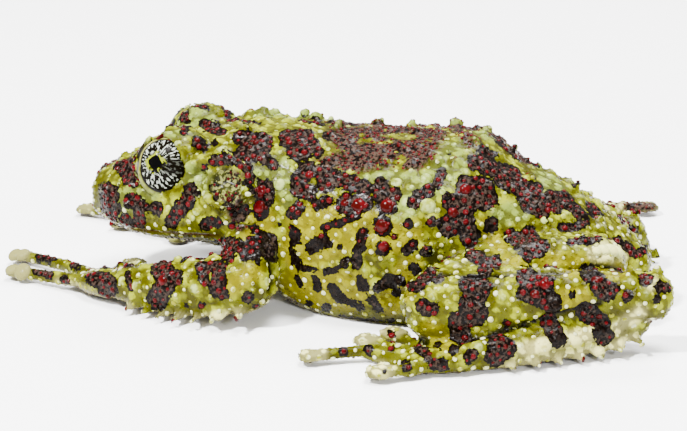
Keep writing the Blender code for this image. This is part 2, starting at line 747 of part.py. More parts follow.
def build_trunk(frog):
    """Head, lower jaw and torso: one form parted at the neck and mouth."""
    backward = Vector((0, 1, 0))
    mouth_up = Vector((0, -MOUTH_RISE, 1)).normalized()
    half_gap = GAP / 2

    torso_mesh = trunk_form()
    part_by_plane(torso_mesh, Vector((0, NECK_Y + half_gap, 0)), backward)
    torso = make_object("torso", torso_mesh, frog, skin_material("torso_skin", MOSS))

    head_mesh = trunk_form()
    part_by_plane(head_mesh, Vector((0, NECK_Y - half_gap, 0)), -backward)
    part_by_plane(head_mesh, MOUTH_FRONT + mouth_up * half_gap, mouth_up)
    head = make_object("head", head_mesh, frog, skin_material("head_skin", MOSS))

    jaw_mesh = trunk_form()
    part_by_plane(jaw_mesh, Vector((0, NECK_Y - half_gap, 0)), -backward)
    part_by_plane(jaw_mesh, MOUTH_FRONT - mouth_up * half_gap, -mouth_up)
    jaw = make_object("lower_jaw", jaw_mesh, frog, skin_material("jaw_skin", JAW_CREAM))
    return torso, head, jaw


def shape_head(head):
    """Lids, eye sockets, ear drums, folds and nostrils."""
    added = []
    for flip in (1, -1):
        turn = Vector((flip, 1, 1))
        bulge = (EYE_MIDDLE + LID_SHIFT) * turn
        added.append(ball_form(bulge, LID_RADII))
        outward = EYE_OUTWARD * turn
        rim = EYE_MIDDLE * turn + outward.normalized() * RIM_SHIFT
        added.append(ring_form(rim, outward, RIM_RADIUS, RIM_THICK))
        ear_outward = EARDRUM_OUTWARD * turn
        added.append(
            ring_form(
                EARDRUM * turn, ear_outward, EARDRUM_RADIUS, EARDRUM_RIM, EARDRUM_SEGMENTS,
            )
        )
        fold = tuple(Joint(*(point * turn), FOLD_THICK, FOLD_THICK) for point in FOLD_PATH)
        added.append(limb_form(fold, FOLD_RINGS, FOLD_SIDES))
    apply_boolean(head, "UNION", added)
    keep_largest_surface(head)
    removed = []
    for flip in (1, -1):
        turn = Vector((flip, 1, 1))
        socket = EYE_RADIUS + GAP
        removed.append(ball_form(EYE_MIDDLE * turn, (socket, socket, socket), 16, 10))
        opening = bmesh.new()
        bmesh.ops.create_cone(
            opening, cap_ends=True, segments=NOSTRIL_SIDES, radius1=NOSTRIL_RADIUS * MM,
            radius2=NOSTRIL_RADIUS * MM, depth=NOSTRIL_DEPTH * MM,
        )
        aim = Vector((0, 0, 1)).rotation_difference(NOSTRIL_OUTWARD * turn).to_matrix().to_4x4()
        place = Matrix.Translation(NOSTRIL * turn * MM) @ aim
        bmesh.ops.transform(opening, matrix=place, verts=opening.verts)
        removed.append(opening)
    apply_boolean(head, "DIFFERENCE", removed)


def build_eyes(frog):
    """The two eyeballs."""
    material = skin_material("eye_surface", EYE_BLACK, 0.05)
    radii = (EYE_RADIUS, EYE_RADIUS, EYE_RADIUS)
    eyes = []
    for side_name, centre in (("left", EYE_MIDDLE), ("right", mirrored(EYE_MIDDLE))):
        ball = ball_form(centre, radii, 16, 10)
        eyes.append(make_object(f"eye_{side_name}", ball, frog, material))
    return eyes


def build_limb(frog, name, mesh, neighbours, added=(), colour=LIMB_GREEN):
    """One length of a limb, joined with its digits and cut clear of neighbours."""
    limb = make_object(name, mesh, frog, skin_material(f"{name}_skin", colour))
    if added:
        apply_boolean(limb, "UNION", added)
        keep_largest_surface(limb)
    if neighbours:
        apply_boolean(limb, "DIFFERENCE", neighbours)
        keep_largest_surface(limb)
    flatten_on_floor(limb)
    return limb


def build_arm(frog, side_name, upper_arm, forearm, palm, fingers):
    """Upper arm, forearm and hand of one side."""
    outer_side = OUTER_SIDE[side_name]
    limbs = [
        build_limb(
            frog, f"forearm_{side_name}", limb_form(forearm), [trunk_form(GAP)],
            fringe_forms(forearm, outer_side),
        ),
        build_limb(
            frog, f"upper_arm_{side_name}", limb_form(upper_arm, SHORT_RINGS),
            [trunk_form(GAP), limb_form(forearm, grow=GAP)],
        ),
    ]
    digits = [digit_form(points, FINGER_THICK) for points in fingers.values()]
    limbs.append(
        build_limb(
            frog, f"hand_{side_name}", limb_form(palm, SHORT_RINGS, SLIM_SIDES),
            [limb_form(forearm, grow=GAP)], digits,
        )
    )
    return limbs


def build_leg(frog, side_name, thigh, shank, tarsus, sole, toes):
    """Thigh, shank, tarsus and foot of one side."""
    limbs = [
        build_limb(frog, f"shank_{side_name}", limb_form(shank), [trunk_form(GAP)]),
        build_limb(
            frog, f"thigh_{side_name}", limb_form(thigh),
            [trunk_form(GAP), limb_form(shank, grow=GAP)],
        ),
        build_limb(
            frog, f"tarsus_{side_name}", limb_form(tarsus, SHORT_RINGS, SLIM_SIDES),
            [trunk_form(GAP), limb_form(shank, grow=GAP)],
            fringe_forms(tarsus, OUTER_SIDE[side_name]),
        ),
    ]
    digits = [digit_form(points, TOE_THICK) for points in toes.values()]
    roots = list(toes.values())
    webs = [web_form(here, there) for here, there in zip(roots, roots[1:])]
    limbs.append(
        build_limb(
            frog, f"foot_{side_name}", limb_form(sole, SHORT_RINGS, SLIM_SIDES),
            [
                limb_form(tarsus, SHORT_RINGS, SLIM_SIDES, GAP),
                limb_form(shank, grow=GAP),
            ],
            digits + webs,
        )
    )
    return limbs


def main():
    """Build every piece of the frog."""
    clear_scene()
    frog = new_collection("mossy_frog")
    torso, head, jaw = build_trunk(frog)
    flatten_on_floor(torso)
    shape_head(head)
    solids = [torso, head, jaw] + build_eyes(frog)
    solids += build_arm(frog, "left", UPPER_ARM, FOREARM, PALM, FINGERS)
    solids += build_arm(
        frog, "right", mirrored_path(UPPER_ARM), RIGHT_FOREARM, RIGHT_PALM, RIGHT_FINGERS,
    )
    solids += build_leg(frog, "left", THIGH, SHANK, TARSUS, SOLE, TOES)
    solids += build_leg(
        frog, "right", RIGHT_THIGH, RIGHT_SHANK, RIGHT_TARSUS, RIGHT_SOLE, RIGHT_TOES,
    )
    draw = random.Random(WART_SEED)
    for solid in solids:
        if wart_kind(solid) in SCATTERED_WARTS:
            others = [surface_tree(other) for other in solids if other is not solid]
            add_warts(solid, others, draw)
    for solid in solids:
        finish_mesh(solid)


main()
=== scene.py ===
"""The mossy frog's looks: one warty skin over the solids, beads, eyes, floor and light."""
import json
import math
from collections import namedtuple

import bpy
import bmesh
import numpy as np
from mathutils import Matrix, Vector
from mathutils.bvhtree import BVHTree
from mathutils.kdtree import KDTree

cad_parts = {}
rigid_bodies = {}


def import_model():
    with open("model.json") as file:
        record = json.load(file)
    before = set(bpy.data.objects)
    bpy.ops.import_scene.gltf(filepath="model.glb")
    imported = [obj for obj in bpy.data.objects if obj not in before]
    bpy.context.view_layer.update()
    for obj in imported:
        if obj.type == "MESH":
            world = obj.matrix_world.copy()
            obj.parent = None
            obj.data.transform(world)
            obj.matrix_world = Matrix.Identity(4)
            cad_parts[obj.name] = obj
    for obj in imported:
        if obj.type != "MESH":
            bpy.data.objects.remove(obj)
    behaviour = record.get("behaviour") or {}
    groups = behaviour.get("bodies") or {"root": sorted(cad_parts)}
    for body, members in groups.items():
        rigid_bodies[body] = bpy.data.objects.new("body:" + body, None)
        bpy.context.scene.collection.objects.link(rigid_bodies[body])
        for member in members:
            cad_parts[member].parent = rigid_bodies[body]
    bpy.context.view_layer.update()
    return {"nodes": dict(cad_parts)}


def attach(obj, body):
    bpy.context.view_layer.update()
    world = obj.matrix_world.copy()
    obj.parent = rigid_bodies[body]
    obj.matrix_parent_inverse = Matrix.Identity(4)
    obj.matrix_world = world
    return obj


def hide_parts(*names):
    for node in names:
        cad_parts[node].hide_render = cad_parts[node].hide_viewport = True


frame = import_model()

MM = 0.001

# The photograph's view: its frame in pixels, and where its camera stands
IMAGE_WIDTH = 687
IMAGE_HEIGHT = 431
CAMERA_TARGET = Vector((0.0, -5.0, 10.6)) * MM
CAMERA_AZIMUTH = 102.0
CAMERA_ELEVATION = 17.0
CAMERA_DISTANCE = 340.0 * MM
PIXELS_PER_MM = 7.2
SENSOR = 36.0
CLIP_NEAR = 0.01
CLIP_FAR = 10.0

EYE_NODES = ("eye_left", "eye_right")
FLESH_NODES = [name for name in frame["nodes"] if name not in EYE_NODES]

# Skin: how far the parted solids swell to close their seams, its fineness and its smoothing
SEAM_SWELL = 0.24 * MM
SKIN_VOXEL = 0.42 * MM
MERGE_DISTANCE = 0.001 * MM
SMOOTH_SHARE = 0.5
SMOOTH_ROUNDS = 2
UNWRAP_ANGLE = math.radians(66)
UNWRAP_MARGIN = 0.001
SEED = 17
rng = np.random.default_rng(SEED)

# Sight: the least turn towards the camera, how far off the skin a sight line starts in millimetres,
# the turns between which sight fades in, a distance past every patch, and one next to nothing
LEAST_FACING = 0.05
SIGHT_LIFT = 0.3
SIGHT_FADE = (0.15, 0.4)
PAST_ALL = 99.0
TINY = 1e-9
NEIGHBOURS = [(x, y, z) for x in (-1, 0, 1) for y in (-1, 0, 1) for z in (-1, 0, 1)]

# The dark patches, traced over the photograph: radius, then points, in its pixels
HEAD_PATCHES = (
    (10, 123, 165, 128, 171, 133, 180), (5, 133, 158), (10, 108, 191, 110, 203, 111, 216),
    (8, 131, 199, 141, 206, 138, 223), (8, 157, 209), (8, 126, 221),
    (8, 191, 190, 184, 206, 172, 221), (7, 206, 224, 216, 223),
    (6, 214, 161, 232, 158, 247, 168, 249, 180), (4, 204, 168), (6, 214, 188), (5, 216, 196),
    (7, 230, 204), (4, 232, 213), (5, 245, 209), (4, 232, 226), (6, 254, 231), (5, 255, 191),
    (5, 184, 131), (6, 197, 143, 204, 148), (3, 214, 145), (7, 206, 126, 214, 130),
    (7, 232, 121), (5, 222, 133), (7, 184, 116), (6, 224, 107), (3, 199, 107),
    (8, 240, 138, 254, 140), (8, 245, 151),
)
ARM_PATCHES = (
    (11, 162, 264, 166, 281, 159, 299), (9, 176, 277), (9, 94, 277, 106, 279, 108, 294),
    (5, 111, 264), (8, 204, 269, 221, 267, 217, 284, 221, 292), (8, 204, 279),
    (4, 129, 276, 131, 289), (7, 247, 297), (4, 257, 307), (5, 41, 257, 53, 257),
    (6, 76, 264), (6, 38, 269, 48, 274), (6, 66, 281), (3, 186, 306), (3.5, 202, 306),
    # The next line's patches lie in the armpit: partly the frog's own pattern, partly painted shade
    (9, 222, 246, 230, 256), (8, 252, 244), (6, 243, 256, 262, 250), (4, 256, 262),
)
TRUNK_PATCHES = (
    (10, 250, 143, 264, 141, 261, 154, 245, 152), (10, 288, 138, 304, 136, 310, 147, 296, 152),
    (6, 318, 152), (5, 327, 135), (6, 274, 165), (9, 264, 186, 264, 200, 262, 211),
    (5, 246, 211), (6, 254, 230), (9, 299, 179, 309, 170), (9, 309, 192, 299, 189),
    (9, 323, 174, 336, 179, 352, 184, 366, 189), (9, 326, 186), (7, 299, 208, 293, 213),
    (6, 317, 205, 328, 200), (11, 345, 205, 358, 205, 364, 202), (10, 388, 206),
    (8, 382, 186, 380, 195, 395, 195), (11, 383, 226), (4, 393, 237), (8, 384, 248),
    (6, 406, 251, 412, 245), (6, 425, 251), (6, 415, 267, 419, 273), (5, 409, 224),
    (5, 430, 222), (8, 422, 195, 415, 202), (8, 428, 192), (6, 442, 173, 438, 184),
    (5, 323, 227, 336, 224, 344, 221, 358, 214), (6, 323, 238, 312, 248), (6, 329, 243),
    (6, 296, 232, 296, 240), (4, 291, 227), (2.5, 279, 224), (3.5, 340, 246),
    (6, 363, 233, 361, 243, 358, 256, 356, 264), (4.5, 348, 261, 336, 269, 326, 272),
    (3.5, 317, 269, 301, 268), (4, 315, 277, 318, 288), (5, 361, 278, 364, 288),
    (6, 379, 288, 390, 281, 401, 281), (5, 396, 293), (4, 291, 246, 293, 257, 296, 262),
    (3.5, 297, 277, 300, 286), (5, 332, 288, 339, 297, 348, 302, 360, 307),
    # The last patch of the next line is the belly's edge by the floor, a painted contact shadow
    (5, 371, 300, 379, 308), (5, 326, 307), (4, 309, 304), (1.5, 336, 316, 368, 321, 393, 320),
    # The next line is the neck's crease, painted dark as painted shade
    (7, 264, 237, 272, 246, 250, 241), (3, 275, 259),
)
RUMP_PATCHES = (
    (13, 467, 188, 479, 188, 486, 199), (12, 453, 203, 468, 205, 449, 225),
    (9, 468, 224, 470, 241), (8, 491, 225), (9, 511, 235, 519, 241, 528, 235, 534, 251),
    (9, 528, 255, 542, 247), (10, 503, 178, 514, 183, 525, 191, 534, 191),
    (10, 528, 203, 541, 210, 550, 200, 556, 205), (9, 475, 162, 487, 167, 501, 172, 514, 175),
    (7, 564, 195, 571, 206, 579, 214), (5, 560, 227, 575, 229, 586, 222),
    (5, 572, 241, 586, 241, 597, 238), (8, 495, 137, 509, 148), (7, 516, 158),
    (7, 533, 164), (6, 575, 183), (5, 556, 178), (7, 591, 206, 597, 213),
    (7, 618, 219, 624, 225), (4, 635, 230), (6, 643, 251, 635, 254, 628, 247),
    (4, 618, 240), (3, 657, 259), (6, 660, 287, 667, 288), (4, 657, 299),
    (5, 481, 150, 492, 155), (3, 449, 153),
)
LEG_PATCHES = (
    (8, 473, 255, 483, 262, 495, 262, 485, 270), (7, 431, 272, 421, 282, 414, 287),
    (7, 438, 277), (8, 423, 307, 431, 309), (11, 470, 284, 483, 287, 468, 304),
    (11, 478, 314, 458, 321, 460, 334), (11, 525, 277, 544, 284, 537, 297),
    (11, 552, 302, 527, 292), (9, 586, 272, 596, 279, 604, 292, 611, 289), (6, 628, 297),
    (8, 646, 278), (4, 572, 294), (10, 549, 324, 557, 339), (10, 586, 312, 599, 321, 604, 336),
    (10, 497, 341, 507, 349, 495, 358), (8, 470, 356), (7, 433, 363, 443, 366),
    (6, 407, 367), (6, 421, 349, 428, 356), (6, 454, 349), (4, 391, 334), (5, 343, 351),
    (5, 368, 350), (4, 392, 348), (2.5, 385, 371), (5, 438, 345), (5, 507, 324),
    (4, 631, 208, 634, 212),
)
# Dark under the throat: partly the frog's own patches, partly painted shade under the jaw
THROAT_AND_SHADE_PATCHES = ((9, 226, 246, 262, 250), (6, 272, 238, 272, 252))
CROWN_PATCHES = (
    (5, 185, 112, 187, 121), (5, 223, 104, 226, 113), (4, 197, 106, 206, 108),
    (4, 226, 118, 242, 120, 256, 124), (8, 128, 164, 138, 161), (5, 303, 121, 320, 124),
)
DARK_PATCHES = (
    HEAD_PATCHES + CROWN_PATCHES + THROAT_AND_SHADE_PATCHES + ARM_PATCHES
    + TRUNK_PATCHES + RUMP_PATCHES + LEG_PATCHES
)

# Where the photograph's brown back, saturated yellow, moss green and cream lie
BROWN_PATCHES = (
    (11, 338, 132, 360, 131, 400, 130, 440, 131), (12, 350, 150, 400, 150, 425, 150),
    (11, 338, 134, 352, 148), (15, 370, 142, 400, 152), (13, 430, 138, 412, 160),
    (11, 350, 165, 385, 172), (8, 236, 178), (8, 459, 131, 470, 140), (9, 232, 200, 240, 222),
    (8, 318, 168, 338, 160), (6, 630, 205, 650, 207),
)
YELLOW_PATCHES = (
    (12, 262, 220, 252, 250), (20, 300, 250, 350, 232, 400, 232), (20, 300, 285, 350, 290),
    (14, 392, 300, 410, 270), (12, 300, 220, 330, 210), (11, 560, 300, 580, 300),
    (10, 430, 330, 450, 345), (9, 232, 286, 252, 272), (8, 570, 270, 620, 270),
    (8, 484, 226, 500, 246), (7, 546, 260, 590, 263), (7, 508, 262, 520, 264), (6, 530, 348, 600, 330),
)
MOSS_PATCHES = (
    (14, 168, 126, 200, 118), (10, 262, 112, 300, 118, 330, 120),
    (5, 361, 179, 388, 174, 408, 178, 430, 177, 440, 160, 452, 147),
    (12, 445, 176, 400, 210), (10, 184, 170, 204, 180), (11, 150, 190, 120, 204),
    (9, 280, 165, 290, 200), (10, 560, 190, 545, 175), (9, 500, 215, 520, 212),
    (8, 255, 175, 278, 180), (6, 412, 119), (8, 456, 121, 488, 136), (5, 458, 148, 463, 178),
)
CREAM_PATCHES = (
    (7, 20, 256), (5, 22, 272), (8, 597, 253, 621, 251), (6, 315, 356), (9, 380, 371), (3.5, 656, 209),
    (5, 60, 284, 100, 299, 130, 309), (5, 165, 318, 200, 322, 240, 314),
    (5, 499, 370, 540, 361, 596, 352, 634, 338), (4, 604, 204, 622, 206),
    (6, 524, 350, 560, 341, 598, 333), (5, 618, 328, 640, 312), (4, 652, 285),
)

# Large red domes on dark patches: a pixel of the photograph, then the radius in millimetres
RED_DOMES = (
    (358, 205, 0.95), (388, 206, 0.95), (383, 226, 0.95), (384, 247, 0.8), (262, 208, 0.9),
    (262, 190, 0.7), (346, 204, 0.6), (309, 175, 0.6), (159, 137, 0.6), (467, 190, 0.8),
    (452, 212, 0.7), (545, 284, 0.7), (162, 280, 0.8), (597, 282, 0.7), (535, 296, 0.6),
)

# Domes that round the discs of the left hand's fingers, as in the photograph
DISC_DOMES = ((15, 255, 1.1), (24, 254, 1.15), (12, 270, 1.1), (23, 271, 1.3))

# One long pale tubercle over the rear of the thigh
CREAM_DOMES = ((598, 252, 0.7), (604, 251, 1.0), (611, 251, 1.1), (618, 253, 0.8))

# Large pale domes on the light ground
PALE_DOMES = (
    (427, 207, 1.1), (398, 183, 0.8), (425, 179, 0.8), (280, 185, 0.8), (446, 195, 0.7),
    (372, 187, 0.6), (199, 178, 0.6), (198, 193, 0.7), (195, 212, 0.6), (242, 217, 0.7),
    (250, 221, 0.65), (235, 214, 0.5), (223, 209, 0.5), (178, 144, 0.5), (410, 213, 0.6),
    (438, 222, 0.6), (545, 220, 0.6), (187, 262, 0.7), (122, 281, 0.6),
)

# Middles of the finger and toe discs, in millimetres
DISC_PLACES = (
    (-1.3, -52.4, 1.1), (5.8, -50.6, 1.1), (-0.6, -35.7, 1.2), (4.0, -31.8, 1.1),
    (-25.6, -50.4, 1.1), (-30.2, -45.2, 1.1), (-20.0, -43.2, 1.1), (-15.4, -33.6, 1.1),
    (30.7, -2.4, 1.2), (34.9, 7.2, 1.3), (23.8, 3.4, 1.2), (20.4, 6.2, 1.2), (21.9, 13.4, 1.2),
    (-43.9, 33.1, 1.3), (-51.6, 17.6, 1.2), (-43.8, 11.8, 1.2), (-37.4, 13.4, 1.2),
    (-33.2, 17.6, 1.2),
)

# Deep folds between parts that touch, by the same rule as the patches: sunk, and darkened with painted
# shade
FOLDS = (
    (1.6, 458, 341, 490, 334, 517, 327, 556, 315, 601, 303),
    (1.4, 424, 277, 446, 273, 470, 277, 505, 275, 542, 272, 580, 271, 592, 264, 621, 270),
    (1.4, 215, 247, 212, 258), (1.6, 268, 250, 272, 272, 270, 290),
)
FOLD_DEPTH = 0.5
FOLD_EDGE = (-0.1, 0.35)

# The pale reach and the soft edge of a disc, and the ear drum's pixel and its edge
DISC_PALE_REACH = 2.3
DISC_EDGE = 0.8
EAR_PIXEL = (231, 186)
EAR_EDGE = (2.0, 3.1)

# The line between the lips: its front, its rise towards the rear, its rear end, and its groove
MOUTH_FRONT = np.array((0.0, -37.9, 9.1))
MOUTH_RISE = 0.085
MOUTH_BACK = -18.5
MOUTH_FADE = 1.5
MOUTH_DEPTH = 0.22
MOUTH_HALF_WIDTH = 0.26

# Lumps: gap between them, then least and most radius and height
BIG_LUMPS = (2.5, 0.8, 1.5, 0.22, 0.62)
SMALL_LUMPS = (1.25, 0.45, 0.75, 0.08, 0.2)

# Lumps shrink where the skin faces down, close to the floor, and on the snout
UNDERSIDE_TURN = (0.1, 0.5)
UNDERSIDE_LOSS = 0.75
FLOOR_RISE = (0.6, 2.5)
SNOUT_FADE = (-39, -34)
SNOUT_SHARE = 0.3

# Seeded dark patches where the photograph doesn't reach: their gap, radius, steps and clearances
PATCH_GAP = 4.4
PATCH_RADIUS = (0.8, 1.7)
PATCH_STEPS = 2
PATCH_STEP_LENGTH = 1.3
TRACED_CLEARANCE = 2.2
DISC_CLEARANCE = 1.0
MOST_SEEN = 0.3
LEAST_UPWARD = -0.55
SEEN_FADE = (0.0, 0.6)
SEEN_CLEARANCE = 4.0

# Markings of the hidden side: the trunk's extent, the yellow flank and the brown crest of the back
PATCH_EDGE = (-0.8, 0.5)
HIDDEN_FADE = (0.0, 0.5)
TRUNK_HALF_WIDTH = 15
TRUNK_FRONT = -38
TRUNK_REAR = 34
FLANK_TURN = (0.3, 0.6)
FLANK_FRONT_FADE = (-14, -8)
FLANK_SHARE = 0.8
CREST_TURN = (0.5, 0.8)
CREST_HEIGHT = (16, 18)
CREST_FRONT_FADE = (-12, -8)
CREST_REAR_FADE = (20, 25)
MOSS_OVER_BROWN = 0.8
BELLY_TURN = (0.25, 0.6)
DISC_LIGHTER = 2.0
BELLY_LIGHTER = 3.0

# Domes: how many one mesh holds, the direction that turns them, the band of their rim, and the
# size of their patch on the map
DOMES_PER_MESH = 10000
DOME_TURN = np.array((0.31, 0.52, 0.79))
RIM_BAND = 0.05
MAP_PATCH = 0.0015

# Dome shapes: sides, rings, and how deep the rim is sunk
DOME = (10, 3, 0.4)
BEAD = (8, 3, 0.4)
GRAIN = (6, 2, 0.4)
LARGE_DOME = (20, 5, 0.3)

# Beads: the gap between them, their least and most radius, and their height over their radius
PEARLS = (1.35, 0.22, 0.46, 0.4)
KNOBS = (2.1, 0.2, 0.45, 0.35)
RED_BEADS = (0.92, 0.2, 0.48, 0.55)
BACK_BEADS = (0.6, 0.12, 0.27, 0.6)
GRAINS = (0.6, 0.12, 0.26, 0.5)
EAR_GRAINS = (0.4, 0.12, 0.22, 0.7)
SMALL_BEAD_BIAS = 1.6
DOME_FLATNESS = 0.5
CREAM_DOME_FLATNESS = 0.6
# The rise given to knobs and pale domes, which gives them the pale tops, partly painted light
RAISED = 0.85

# Where beads sit: clear of a patch's edge and of the floor, by the amounts of the markings, off
# the low flank, and apart on the topside, which takes in the head
EDGE_CLEARANCE = 0.35
FLOOR_CLEARANCE = 0.8
GRAIN_FLOOR_CLEARANCE = 0.4
MOST_BELLY = 0.4
HALF_MARKED = 0.5
LOW_FLANK_TOP = 12
LOW_FLANK_SIDE = 19
LOW_FLANK_FRONT = -13
LOW_FLANK_REAR = 12
TOPSIDE_HEIGHT = 13
TOPSIDE_TURN = 0.35
HEAD_REAR = -15
BROWN_CLEARANCE = 0.2
LEAST_BROWN = 0.6
LEAST_EAR = 0.3

# Eyes: the left one's middle and radius in millimetres, where its opening and its pupil look, and
# the ball's fineness
EYE_MIDDLE = Vector((8.2, -28.1, 18.7))
EYE_RADIUS = 4.1
EYE_OUTWARD = Vector((0.92, 0.20, 0.28))
PUPIL_OUTWARD = Vector((0.92, -0.10, 0.36))
EYE_SIDES = 64
EYE_RINGS = 40

# Lids: steps round, the opening's half width, how much taller it is, its corners, and the flatter
# stretches beside them
LID_STEPS = 72
LID_OPENING = 3.1
LID_TALLER = 0.35
LID_CORNER = 0.65
LID_CORNER_WIDE = 0.32
LID_FLATTER = 0.16
LID_FLAT_AT = 0.85
LID_WIDEST = 0.97

# A lid's rows from its edge outwards: how far out each lies, and how far from the eye's middle
THIN_LID = (
    (-0.10, 4.00), (0.0, 4.18), (0.08, 4.28), (0.20, 4.32), (0.42, 4.24), (1.2, 4.30),
    (2.4, 4.32), (3.8, 4.28), (5.4, 4.24), (7.0, 4.16), (8.2, 3.80),
)
THICK_LID = (
    (-0.10, 4.00), (0.0, 4.25), (0.35, 4.62), (0.9, 4.80), (1.50, 4.55), (2.0, 4.32),
    (2.8, 4.24), (4.0, 4.22), (5.4, 4.20), (7.0, 4.12), (8.2, 3.70),
)
# Where round the eye the lid is thick: the turn, and how steeply thin gives way to thick
THICK_TURN = 1.1
THICK_GAIN = 1.6
THICK_LOSS = 0.45

# Colours of the skin and its beads
MAROON = (0.023, 0.0145, 0.0105, 1)
BLACK_BROWN = (0.0016, 0.0008, 0.0005, 1)
BACK_BROWN = (0.036, 0.0215, 0.015, 1)
OLIVE = (0.06, 0.064, 0.0008, 1)
YELLOW_GREEN = (0.172, 0.19, 0.003, 1)
MOSS_GREEN = (0.118, 0.152, 0.02, 1)
FLANK_YELLOW = (0.134, 0.124, 0.0001, 1)
CREAM = (0.5, 0.475, 0.17, 1)
BELLY_GREY = (0.14, 0.125, 0.06, 1)
PEARL = (0.42, 0.43, 0.22, 1)
PEARL_SIDE = (0.16, 0.162, 0.006, 1)
# Painted shade in the valleys between lumps
VALLEY_SHADE = (0.017, 0.014, 0.0002, 1)
LIP_BROWN = (0.034, 0.0105, 0.0012, 1)
RED = (0.05, 0.0011, 0.002, 1)
RED_DEEP = (0.022, 0.0008, 0.0006, 1)
# Pale tops of lumps: partly the paler tubercles' own colour, partly painted light
PALE_AND_LIT_GREEN = (0.36, 0.42, 0.15, 1)
# Painted shade in the valleys of the yellow flank
GOLD_VALLEY_SHADE = (0.052, 0.042, 0.0002, 1)
# Pale tops on the yellow flank: partly their own colour, partly painted light
PALE_AND_LIT_YELLOW = (0.205, 0.19, 0.001, 1)
LID_CREAM = (0.13, 0.125, 0.02, 1)
LID_GREEN = (0.10, 0.125, 0.012, 1)
EAR_DARK = (0.004, 0.004, 0.0028, 1)
EAR_PALE = (0.17, 0.175, 0.05, 1)

# Colours of the eye
IRIS_BLACK = (0.0025, 0.002, 0.001, 1)
IRIS_SILVER = (0.30, 0.32, 0.27, 1)
IRIS_SHADE = (0.002, 0.0015, 0.0007, 1)
RING_GREEN = (0.13, 0.15, 0.005, 1)
PUPIL_BLACK = (0.001, 0.001, 0.001, 1)
EYE_RIM = (0.004, 0.003, 0.0015, 1)

# Noises: waves to a millimetre, or to the eye's radius, and detail. Their values lie round the middle
NOISE_MIDDLE = 0.5
RAGGED_NOISE = (0.55, 3.0)
FINE_NOISE = (1.9, 2.0)
SKIN_GRAIN = (2.8, 3.0)
WET_NOISE = (1.3, 2.0)
LID_GRAIN = (3.0, 2.0)
PUPIL_NOISE = (4.0, 2.0)
SPOKE_NOISE = (1.0, 4.0)
NET_NOISE = (9.0, 5.0)

# Clouds: the same two values, then the noise's values between which the cloud begins
GROUND_CLOUDS = (0.35, 2.0, 0.4, 0.62)
# Clouds of the pale tops, which are partly painted light
PALE_LIT_TOP_CLOUDS = (1.3, 2.0, 0.34, 0.62)
BELLY_CLOUDS = (0.6, 3.0, 0.5, 0.56)
BROWN_CLOUDS = (0.4, 4.0, 0.37, 0.42)
MAROON_CLOUDS = (2.2, 3.0, 0.46, 0.60)
EAR_CLOUDS = (1.7, 4.0, 0.49, 0.55)
BEAD_CLOUDS = (0.9, 2.0, 0.4, 0.6)
LID_CLOUDS = (1.4, 3.0, 0.50, 0.58)
NEAR_EYE_CLOUDS = (1.0, 3.0, 0.42, 0.6)
NEAR_EYE_SPOTS = (0.45, 2.0, 0.53, 0.56)
RING_CLOUDS = (5.0, 2.0, 0.48, 0.53)

# The coat: how high over the skin its painted valley shade ends and its pale tops, partly painted
# light, begin, and each one's share
VALLEY_SHADE_RISE = (0.26, 0.02)
VALLEY_SHADE_SHARE = 0.75
YELLOW_VALLEY_SHADE_LESS = -0.15
PALE_LIT_TOP_RISE = (0.45, 0.95)
PALE_LIT_TOP_SHARE = 0.6
BROWN_FINE = (0.42, 0.60)
# The dark patches: how ragged their edge is in millimetres, and the edge and its black border
RAGGED_REACH = 1.6
FINE_REACH = 0.9
PATCH_BORDER = (-0.45, -0.12)
PATCH_TURN = (0.07, -0.07)
YELLOW_BLACKENS = 0.8
EAR_SHARE = 0.8

# Rows of a lid between which one colour gives way to the next
LID_EDGE_ROWS = (1.7, 1.2)
LID_FOLD_ROWS = (3.2, 3.9)
LID_SKIN_ROWS = (4.2, 4.9)
LID_OLIVE_SHARE = 0.8

# The eye's zones in shares of its radius: the pupil is part diamond and part round, in a green ring
PUPIL_WIDE = 0.50
PUPIL_TALL = 0.44
PUPIL_ROUND = 0.5
PUPIL_RAGGED = 0.10
PUPIL_EDGE = (0.26, 0.24)
RING_EDGE = (0.42, 0.36)
SPOKES_ROUND = 9.0
SPOKES_OUT = 5.0
SPOKE_SHARE = 0.6
SILVER_NET = (0.525, 0.545)
SILVER_FROM = (0.26, 0.42)
SHADE_SIDE = (-0.20, -0.34)
SHADE_TOP = (0.26, 0.14)
SHADE_FOOT = (-0.42, -0.26)
SHADE_SHARE = 0.9
IRIS_EDGE = (0.84, 0.86)
SKIN_FROM = (0.96, 0.98)

# Relief: strength and depth. Wet gloss: each surface's own settings
SKIN_RELIEF = (0.6, 0.12 * MM)
LID_RELIEF = (0.5, 0.1 * MM)
SKIN_ROUGHNESS = 0.11
WET_ROUGHNESS = 0.14
PEARL_ROUGHNESS = 0.22
RED_ROUGHNESS = 0.15
SKIN_GLOSS = {"Specular IOR Level": 0.03, "Coat Weight": 0.03, "Coat Roughness": 0.10}
BEAD_GLOSS = {"Specular IOR Level": 0.03, "Coat Weight": 0.09, "Coat Roughness": 0.06}
LID_GLOSS = {"Roughness": 0.3, "Specular IOR Level": 0.12, "Coat Weight": 0.1}
EYE_GLOSS = {
    "Roughness": 0.08, "Specular IOR Level": 0.0, "Coat Weight": 0.04, "Coat Roughness": 0.03,
}

# The floor, the sky's light, and the lamps: place, size and power
FLOOR_REACH = 3.0
FLOOR_COLOUR = (0.93, 0.93, 0.93, 1)
FLOOR_GLOSS = {"Roughness": 0.6}
WHITE = (1, 1, 1, 1)
WORLD_LIGHT = 0.6
LAMPS = (
    ("key", (0.35, -0.30, 0.60), 0.07, 25.0),
    ("top", (0.05, 0.10, 0.80), 0.30, 20.0),
    ("fill", (0.60, 0.35, 0.30), 0.08, 5.0),
    ("back", (-0.50, 0.1, 0.6), 0.25, 8.0),
)


